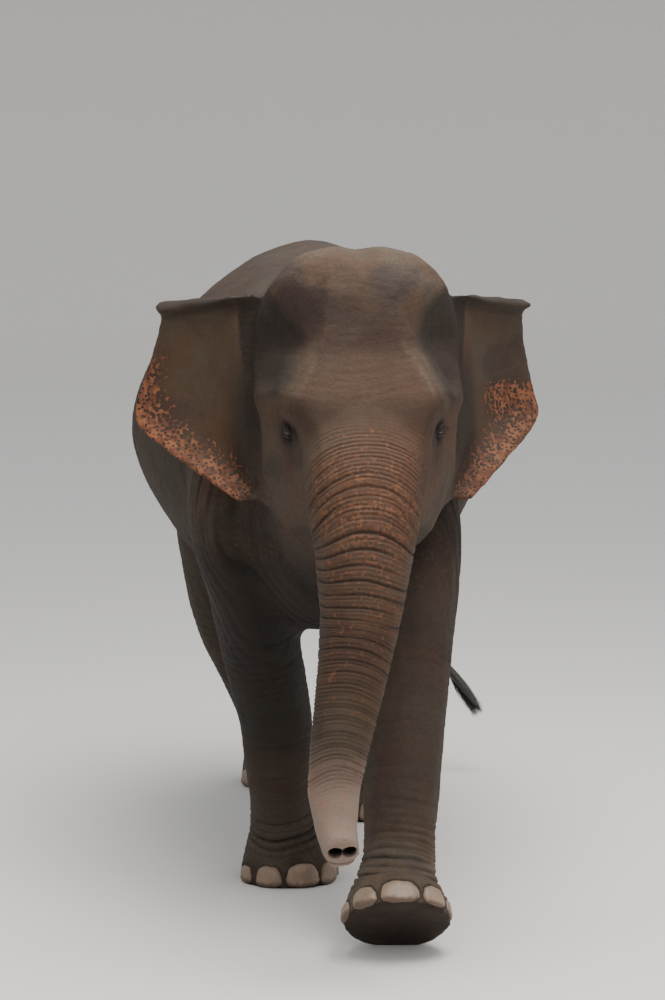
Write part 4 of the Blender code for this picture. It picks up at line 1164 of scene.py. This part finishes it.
def hide_colour(made, place, crackle):
    """Brown, grey and reddish patches under freckles, dust with a painted highlight, and painted shade in
    folds and hollows.
    """
    broad = made.step(made.noise(place, 2.6, 4.0, 0.55), 0.40, 0.62)
    patch = made.step(made.noise(place, 7.0, 5.0, 0.6), 0.46, 0.66)
    cloudy = made.step(made.noise(place, 4.2, 3.0, 0.5, Lacunarity=2.4), 0.54, 0.68)
    colour = made.mix(broad, BROWN, ASH)
    colour = made.mix(made.math("MULTIPLY", patch, 0.60), colour, REDDISH)
    colour = made.mix(made.math("MULTIPLY", cloudy, 0.50), colour, MAUVE)
    colour = made.mix(made.math("MULTIPLY", made.mask("stain"), 0.60), colour, MAUVE)
    speck = made.step(made.noise(place, 150.0, 4.0, 0.75), 0.38, 0.66)
    colour = made.mix(made.math("MULTIPLY", speck, 0.34), colour, made.mix(0.55, colour, DARK))
    colour = made.mix(made.math("MULTIPLY", made.mask("warm"), 0.60), colour, WARM)
    pale = made.mask("pale")
    rosy = made.step(made.noise(place, 16.0, 4.0, 0.6), 0.45, 0.62)
    tip = made.mix(rosy, PALE, PINK)
    fine = made.step(made.noise(place, 330.0, 3.0, 0.7), 0.42, 0.66)
    tip = made.mix(made.math("MULTIPLY", fine, 0.38), tip, TIP_SPECK)
    colour = made.mix(made.math("MULTIPLY", pale, 0.88), colour, tip)
    blotch = made.step(made.noise(place, 22.0, 3.0, 0.6), 0.42, 0.60)
    freckles = use(made, FRECKLES, {"Place": place, "Amount": made.mask("freckled"), "Scale": 80.0})
    # Strong on the ears, faint on the trunk and the throat.
    strength = made.math("MULTIPLY_ADD", made.mask("ear"), 0.46, 0.32)
    bare = made.math("MULTIPLY", freckles["Mask"], strength)
    between = made.math("MULTIPLY", made.math("SUBTRACT", 1.0, freckles["Mask"]), made.mask("freckled"))
    colour = made.mix(made.math("MULTIPLY", between, strength), colour, DARK)
    colour = made.mix(bare, colour, made.mix(blotch, RUST, ORANGE))
    dust = use(made, DUST, {"Place": place, "Amount": made.mask("dust")})
    # Pale dust, with the painted highlight along the brow ridges.
    colour = made.mix(made.math("MULTIPLY", dust["Mask"], 0.62), colour, DUST_AND_HIGHLIGHT)
    # Painted shade: eye hollows, temples, throat, jaw, trunk, belly, ear tops, toe gaps, left ear, and the
    # legs, which are partly darker hide.
    colour = made.mix(made.math("MULTIPLY", made.mask("dark"), 0.86), colour, DARK)
    kept = made.math("MULTIPLY_ADD", pale, -0.8, 1.0)
    cracked = made.math("MULTIPLY", made.math("MULTIPLY", crackle["Cracks"], 0.20), kept)
    colour = made.mix(cracked, colour, DARK)
    # Painted shade in the folds.
    shaded = made.mix(0.6, DARK, colour, "MULTIPLY")
    colour = made.mix(made.math("MULTIPLY", made.mask("fold"), 0.74), colour, shaded)
    colour = made.mix(made.mask("sole"), colour, made.mix(patch, SOLE, SCUFFED_SOLE))
    # Painted shade inside the nostrils.
    return made.mix(made.mask("nostril"), colour, NOSTRIL_SHADE)


def hide_material():
    material, made, shader = new_material("hide")
    place = made.place()
    crackle = use(made, CRACKLE, {"Place": place, "Scale": 95.0})
    made.link(hide_colour(made, place, crackle), shader.inputs["Base Color"])
    rough = made.math("MULTIPLY_ADD", made.noise(place, 30.0, 3.0), 0.22, 0.66)
    rough = made.math("MULTIPLY_ADD", made.mask("wet"), -0.45, rough, clamp=True)
    made.link(rough, shader.inputs["Roughness"])
    shader.inputs["Specular IOR Level"].default_value = 0.30
    smooth_here = made.math("MULTIPLY_ADD", made.mask("pale"), -0.6, 1.0)
    height = made.math("MULTIPLY", crackle["Height"], smooth_here)
    bump = made.add("ShaderNodeBump", {"Height": height, "Strength": 0.42, "Distance": 0.0024})
    made.link(bump.outputs["Normal"], shader.inputs["Normal"])
    return material


hide.data.materials.clear()
hide.data.materials.append(hide_material())
hide.data.shade_smooth()
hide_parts(*FLESH)
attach(hide, "root")

# %% [markdown]
# ## Eyes
# An elephant's eye is a small ball, amber-brown round a dark round pupil, in a nearly black rim.
# The ball is turned so that it looks ahead along the slit, with the cornea swelling out over the
# iris. The iris' rings are kept on the mesh as an angle from the line of sight.

# %% Eyeballs
IRIS_ANGLE = math.radians(42)
PUPIL_ANGLE = math.radians(13)
CORNEA = 0.0022  # how far it swells out
AMBER_DARK = linear(64, 34, 15)
AMBER = linear(112, 66, 30)
IRIS_RIM = linear(38, 24, 16)
EYE_WHITE = linear(46, 34, 28)  # brown in this animal
PUPIL = linear(6, 5, 5)


def eye_material():
    material, made, shader = new_material("eye")
    angle = made.mask("sight")
    streaks = made.noise(made.place(), 700.0, 3.0, 0.6)
    iris = made.mix(streaks, AMBER_DARK, AMBER)
    iris = made.mix(made.step(angle, IRIS_ANGLE * 0.70, IRIS_ANGLE), iris, IRIS_RIM)
    colour = made.mix(made.step(angle, IRIS_ANGLE, IRIS_ANGLE * 1.12), iris, EYE_WHITE)
    colour = made.mix(made.step(angle, PUPIL_ANGLE * 1.1, PUPIL_ANGLE * 0.9), colour, PUPIL)
    made.link(colour, shader.inputs["Base Color"])
    rough = made.math("MULTIPLY_ADD", streaks, 0.10, 0.12)
    made.link(rough, shader.inputs["Roughness"])
    shader.inputs["Coat Weight"].default_value = 0.5
    shader.inputs["Coat Roughness"].default_value = 0.04
    return material


def eyeball(side, material):
    name = "eyeball_left" if side > 0 else "eyeball_right"
    out, along, across = (Vector(v) for v in eye_frame(side))
    sight = (out + along * 0.30 - across * 0.05).normalized()
    shape = bmesh.new()
    bmesh.ops.create_icosphere(shape, subdivisions=5, radius=EYE_RADIUS)
    angles = []
    for vert in shape.verts:
        way = vert.co.normalized()
        angle = way.angle(sight)
        rise = max(0.0, 1 - (angle / (IRIS_ANGLE * 1.25)) ** 2)
        vert.co = way * (EYE_RADIUS + CORNEA * rise)
        angles.append(angle)
    mesh = bpy.data.meshes.new(name)
    shape.to_mesh(mesh)
    shape.free()
    keep_mask(mesh, "sight", angles)
    mesh.transform(Matrix.Translation(EYES[side]))
    mesh.shade_smooth()
    mesh.materials.append(material)
    ball = add_object(name, mesh)
    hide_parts("eye_left" if side > 0 else "eye_right")
    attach(ball, "root")
    return ball


wet_eye = eye_material()
eyeballs = [eyeball(side, wet_eye) for side in (1, -1)]
print("eyeballs:", [len(ball.data.vertices) for ball in eyeballs])

# %% [markdown]
# ## Toenails
# The nails are thick domed shields of horn that grow down out of the foot, ridged by growth and
# scuffed by the ground. Each node is remeshed finely and smoothed, then gets its growth lines.

# %% Nails
NAIL_SQUARE = 0.0028
HORN_DARK = linear(118, 97, 79)
HORN_LIGHT = linear(140, 118, 99)
SCUFF = linear(120, 98, 78)
NAIL_DUST = linear(134, 116, 98)
WORN_EDGE = linear(70, 50, 36)


def nail_material():
    material, made, shader = new_material("toenail")
    place = made.place()
    soft = made.step(made.noise(place, 22.0, 4.0, 0.6), 0.35, 0.65)
    colour = made.mix(soft, HORN_DARK, HORN_LIGHT)
    scuffs = made.step(made.noise(place, 75.0, 4.0, 0.7), 0.55, 0.72)
    colour = made.mix(made.math("MULTIPLY", scuffs, 0.5), colour, SCUFF)
    dust = use(made, DUST, {"Place": place, "Amount": 0.6})
    colour = made.mix(dust["Mask"], colour, NAIL_DUST)
    colour = made.mix(made.math("MULTIPLY", made.mask("worn"), 0.80), colour, WORN_EDGE)
    made.link(colour, shader.inputs["Base Color"])
    made.link(made.math("MULTIPLY_ADD", scuffs, 0.25, 0.48), shader.inputs["Roughness"])
    grain = made.noise(place, 260.0, 3.0, 0.6)
    bump = made.add("ShaderNodeBump", {"Height": grain, "Strength": 0.35, "Distance": 0.001})
    made.link(bump.outputs["Normal"], shader.inputs["Normal"])
    return material


def foot_nails(leg, material):
    """All the nails of one foot as one piece."""
    own = [name for name in NAILS if name.startswith("toenail_" + leg)]
    shape = bmesh.new()
    for name in own:
        outermost = name.endswith("_1") or name.endswith(("left_5", "right_5"))
        shape.from_mesh(grown(name, -0.0026 if outermost and "front" in name else 0.0006))
    mesh = bpy.data.meshes.new("toenails_" + leg)
    shape.to_mesh(mesh)
    shape.free()
    piece = add_object("toenails_" + leg, mesh)
    remeshed(piece, NAIL_SQUARE)
    spots = smoothed(get_points(piece), get_edges(piece), 45)
    set_points(piece, spots)
    spots += get_normals(piece) * 0.0012
    rise = above_sole(spots, leg)
    low, high = rise.min(), rise.max()
    spots += sole_direction(leg) * ((low - 0.0012) * (high - rise) / (high - low))[:, None]
    set_points(piece, spots)
    rise = above_sole(spots, leg)
    lines = np.sin(rise / 0.0055 + 2.5 * noise(spots, 0.03, 91)) * 0.00035
    lumps = 0.0009 * noise(spots, 0.022, 93) + 0.0004 * noise(spots, 0.006, 95)
    spots += get_normals(piece) * (lines + lumps)[:, None]
    spots[:, 2] = np.maximum(spots[:, 2], 0.001)
    set_points(piece, spots)
    worn = fade(rise + 0.006 * noise(spots, 0.012, 97), 0.027, 0.010)
    keep_mask(piece.data, "worn", worn)
    print(leg, "nails worn", round(float(worn.mean()), 2), "lowest", round(float(rise.min()), 4))
    piece.data.shade_smooth()
    piece.data.materials.clear()
    piece.data.materials.append(material)
    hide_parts(*own)
    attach(piece, "root")
    return piece


horn = nail_material()
toenails = [foot_nails(leg, horn) for leg in LEG_NAMES]
print("nail pieces:", [len(piece.data.vertices) for piece in toenails])

# %% [markdown]
# ## Bristles
# The animal is nearly bald. Sparse stiff hairs stand on the crown, the brow, the chin and the
# back, long lashes hang over the eyes, and the tail ends in a tuft of wiry bristles. Each hair is
# a thin solid with three sides, all of one kind joined in one mesh.

# %% Bristle maker
BRISTLE_SIDES = 3
PATCH = 0.003  # what a bristle takes up on the unwrap


def bristles(name, roots, ways, lengths, radius, droop, roots_uv, rings=6):
    """Tapered hairs from the roots, which sink by droop times their length at their tips."""
    count = len(roots)
    ways = ways / np.linalg.norm(ways, axis=1)[:, None]
    side = np.cross(ways, np.array((0.31, 0.22, 0.92)))
    side /= np.linalg.norm(side, axis=1)[:, None]
    top = np.cross(side, ways)
    verts = np.zeros((count, rings, BRISTLE_SIDES, 3))
    for ring in range(rings):
        t = ring / (rings - 1)
        centre = roots + ways * (lengths * t)[:, None]
        centre[:, 2] -= droop * lengths * t * t
        thick = radius * (1 - 0.85 * t)
        for corner in range(BRISTLE_SIDES):
            angle = 2 * math.pi * corner / BRISTLE_SIDES
            verts[:, ring, corner] = centre + (side * math.cos(angle) + top * math.sin(angle)) * thick
    faces = []
    per = rings * BRISTLE_SIDES  # points in one bristle
    one = []
    for ring in range(rings - 1):
        for corner in range(BRISTLE_SIDES):
            after = (corner + 1) % BRISTLE_SIDES
            a, b = ring * BRISTLE_SIDES, (ring + 1) * BRISTLE_SIDES
            one.append((a + corner, a + after, b + after, b + corner))
    caps = [tuple(range(BRISTLE_SIDES))[::-1], tuple(range(per - BRISTLE_SIDES, per))]
    for index in range(count):
        start = index * per
        faces.extend(tuple(start + v for v in face) for face in one + caps)
    obj = add_mesh(name, verts.reshape(-1, 3).tolist(), faces)
    mesh = obj.data
    layer = mesh.uv_layers.new(name="OFBake")
    corners = np.zeros(len(mesh.loops), np.int32)
    mesh.loops.foreach_get("vertex_index", corners)
    within = corners % per
    spread = np.stack([within % BRISTLE_SIDES / BRISTLE_SIDES, within // BRISTLE_SIDES / rings], axis=1)
    layer.data.foreach_set("uv", (roots_uv[corners // per] + spread * PATCH).astype(np.float32).ravel())
    mesh.shade_smooth()
    return obj


def hide_uv():
    """For each point of the hide, its place on the unwrap."""
    corners = np.zeros(len(hide.data.loops), np.int32)
    hide.data.loops.foreach_get("vertex_index", corners)
    flat = np.zeros(len(corners) * 2, np.float32)
    hide.data.uv_layers["OFBake"].data.foreach_get("uv", flat)
    found = np.zeros((len(points), 2))
    found[corners] = flat.reshape(-1, 2)
    return found


def hair_material(name, dark, light):
    material, made, shader = new_material(name)
    tone = made.noise(made.place(), 60.0, 2.0, 0.6)
    made.link(made.mix(tone, dark, light), shader.inputs["Base Color"])
    made.link(made.math("MULTIPLY_ADD", tone, 0.2, 0.38), shader.inputs["Roughness"])
    return material


# %% Hairs on the hide
BODY_HAIRS = 2600
LASHES = 46  # on each eye
draw = np.random.default_rng(7)
unwrap = hide_uv()
normals = get_normals(hide)
dark_hair = hair_material("dark_hair", linear(26, 23, 22), linear(58, 50, 44))


def hide_area():
    """About how much hide belongs to each point."""
    one, two = edges.T
    squares = ((points[one] - points[two]) ** 2).sum(axis=1)
    return np.bincount(one, squares, len(points)) + np.bincount(two, squares, len(points))


def scattered(density, count):
    """Numbers of count random points of the hide, more of them where density is high."""
    area = averaged(hide_area(), edges, 1)[:, 0]
    chance = density * area
    return draw.choice(len(points), count, replace=False, p=chance / chance.sum())


def body_hairs():
    x, y, z = points.T
    crown = fade(z, BETWEEN_EYES.z + 0.30, BETWEEN_EYES.z + 0.50)
    crown = crown * fade(y, BETWEEN_EYES.y + 0.9, BETWEEN_EYES.y + 0.3)
    chin = in_box(points, "jaw", 0.02) * 1.6
    ridge = np.exp(-((x / 0.18) ** 2)) * fade(z, 1.9, 2.15)
    brow = 0.35 * before_neck * fade(z, 1.5, 1.8)
    nose = 0.22 * masks["trunk"]
    density = (crown + chin + 0.6 * ridge + brow + nose + 0.05) * (1 - masks["sole"])
    density = density * (near_eye(points, 0.045) <= 0)
    chosen = scattered(density, BODY_HAIRS)
    back = np.array((0, 0.55, -0.45)) + 0.16 * draw.normal(size=(len(chosen), 3))
    ways = 0.85 * normals[chosen] + back
    lengths = draw.uniform(0.008, 0.022, len(chosen)) * (0.7 + 0.5 * crown[chosen])
    return bristles(
        "body_hairs", points[chosen] - normals[chosen] * 0.001, ways, lengths, 0.00026, 0.15,
        unwrap[chosen], 4,
    )


def lashes(side):
    """Long lashes on the upper lid, which hang out over the eye."""
    out, along, across = eye_frame(side)
    a = np.linspace(-0.92, 0.92, LASHES) * SLIT_HALF + draw.normal(0, 0.0006, LASHES)
    top = slit_height(a)[0]
    b = top + 0.0012
    c = np.sqrt(np.clip((EYE_RADIUS + LID) ** 2 - a * a - b * b, 1e-6, None)) - 0.0012
    roots = np.array(EYES[side]) + a[:, None] * along + b[:, None] * across + c[:, None] * out
    fan = (a / SLIT_HALF)[:, None] * along * 0.45
    ways = 0.80 * out - 0.42 * across + fan + 0.10 * draw.normal(size=(LASHES, 3))
    lengths = draw.uniform(0.024, 0.042, LASHES)
    nearest = [int(((points - root) ** 2).sum(axis=1).argmin()) for root in roots]
    name = "lashes_left" if side > 0 else "lashes_right"
    return bristles(name, roots, ways, lengths, 0.00055, 0.35, unwrap[nearest], 6)


hair_pieces = [body_hairs()] + [lashes(side) for side in (1, -1)]
for piece in hair_pieces:
    piece.data.materials.append(dark_hair)
    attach(piece, "root")
print("hairs:", {piece.name: len(piece.data.polygons) for piece in hair_pieces})

# %% [markdown]
# ## The tail's tuft
# The tuft is a flat brush: wiry bristles in rows down both edges of the tail's end. A slim core of
# flesh, the node's own shape made thinner, keeps light from showing through it.

# %% Tuft
TUFT_BRISTLES = 1100


def tuft_core():
    piece = add_object("tuft_core", grown("tail_tuft", -0.0005))
    remeshed(piece, 0.004)
    spots = smoothed(get_points(piece), get_edges(piece), 12)
    below = spots[:, 2].max() - spots[:, 2]
    thinner = 0.0075 * fade(below, 0.0, 0.05)
    spots += get_normals(piece) * (0.0012 * noise(spots, 0.008, 101) - thinner)[:, None]
    up = np.array(end_of("tail", False)) - np.array(end_of("tail_tuft", True))
    spots += (up + (0, 0, 0.010)) * fade(below, 0.012, 0.0)[:, None]
    set_points(piece, spots)
    piece.data.shade_smooth()
    return piece


def tuft_bristles():
    """Bristles from the tail's last stretch down to the tuft's end, no wider than its node."""
    shape = node_points("tail_tuft")
    top = np.array(end_of("tail_tuft", True))
    end = shape[shape[:, 2].argmin()]
    run = draw.uniform(0, 1, TUFT_BRISTLES) ** 1.1
    around = draw.uniform(0, 2 * math.pi, TUFT_BRISTLES)
    axis = (end - top) / np.linalg.norm(end - top)
    side = np.cross(axis, np.array((0, 1, 0)))
    side /= np.linalg.norm(side)
    other = np.cross(axis, side)
    start = top + (end - top) * (0.72 * run)[:, None]
    thick = 0.010 + 0.012 * np.sin(math.pi * np.clip(run, 0, 1))
    outward = side * np.cos(around)[:, None] * 1.15 + other * np.sin(around)[:, None] * 0.8
    roots = start + outward * (thick * 0.55)[:, None]
    goal = end + outward * (0.012 * (1 - run) + 0.006)[:, None] + 0.006 * draw.normal(size=(TUFT_BRISTLES, 3))
    middle_out = outward * (0.30 + 0.25 * draw.uniform(0, 1, TUFT_BRISTLES))[:, None]
    ways = (goal - roots) / np.linalg.norm(goal - roots, axis=1)[:, None] + 0.22 * middle_out
    lengths = np.minimum(np.linalg.norm(goal - roots, axis=1), draw.uniform(0.07, 0.14, TUFT_BRISTLES))
    patch = np.stack([0.05 + 0.9 * run, 0.05 + 0.9 * around / (2 * math.pi)], axis=1)
    return bristles("tuft_bristles", roots, ways, lengths, 0.0008, 0.06, patch, 7)


core = tuft_core()
brush = tuft_bristles()
core.data.materials.append(dark_hair)
brush.data.materials.append(dark_hair)
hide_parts("tail_tuft")
for piece in (core, brush):
    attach(piece, "root")
print("tuft:", len(brush.data.polygons), "faces")
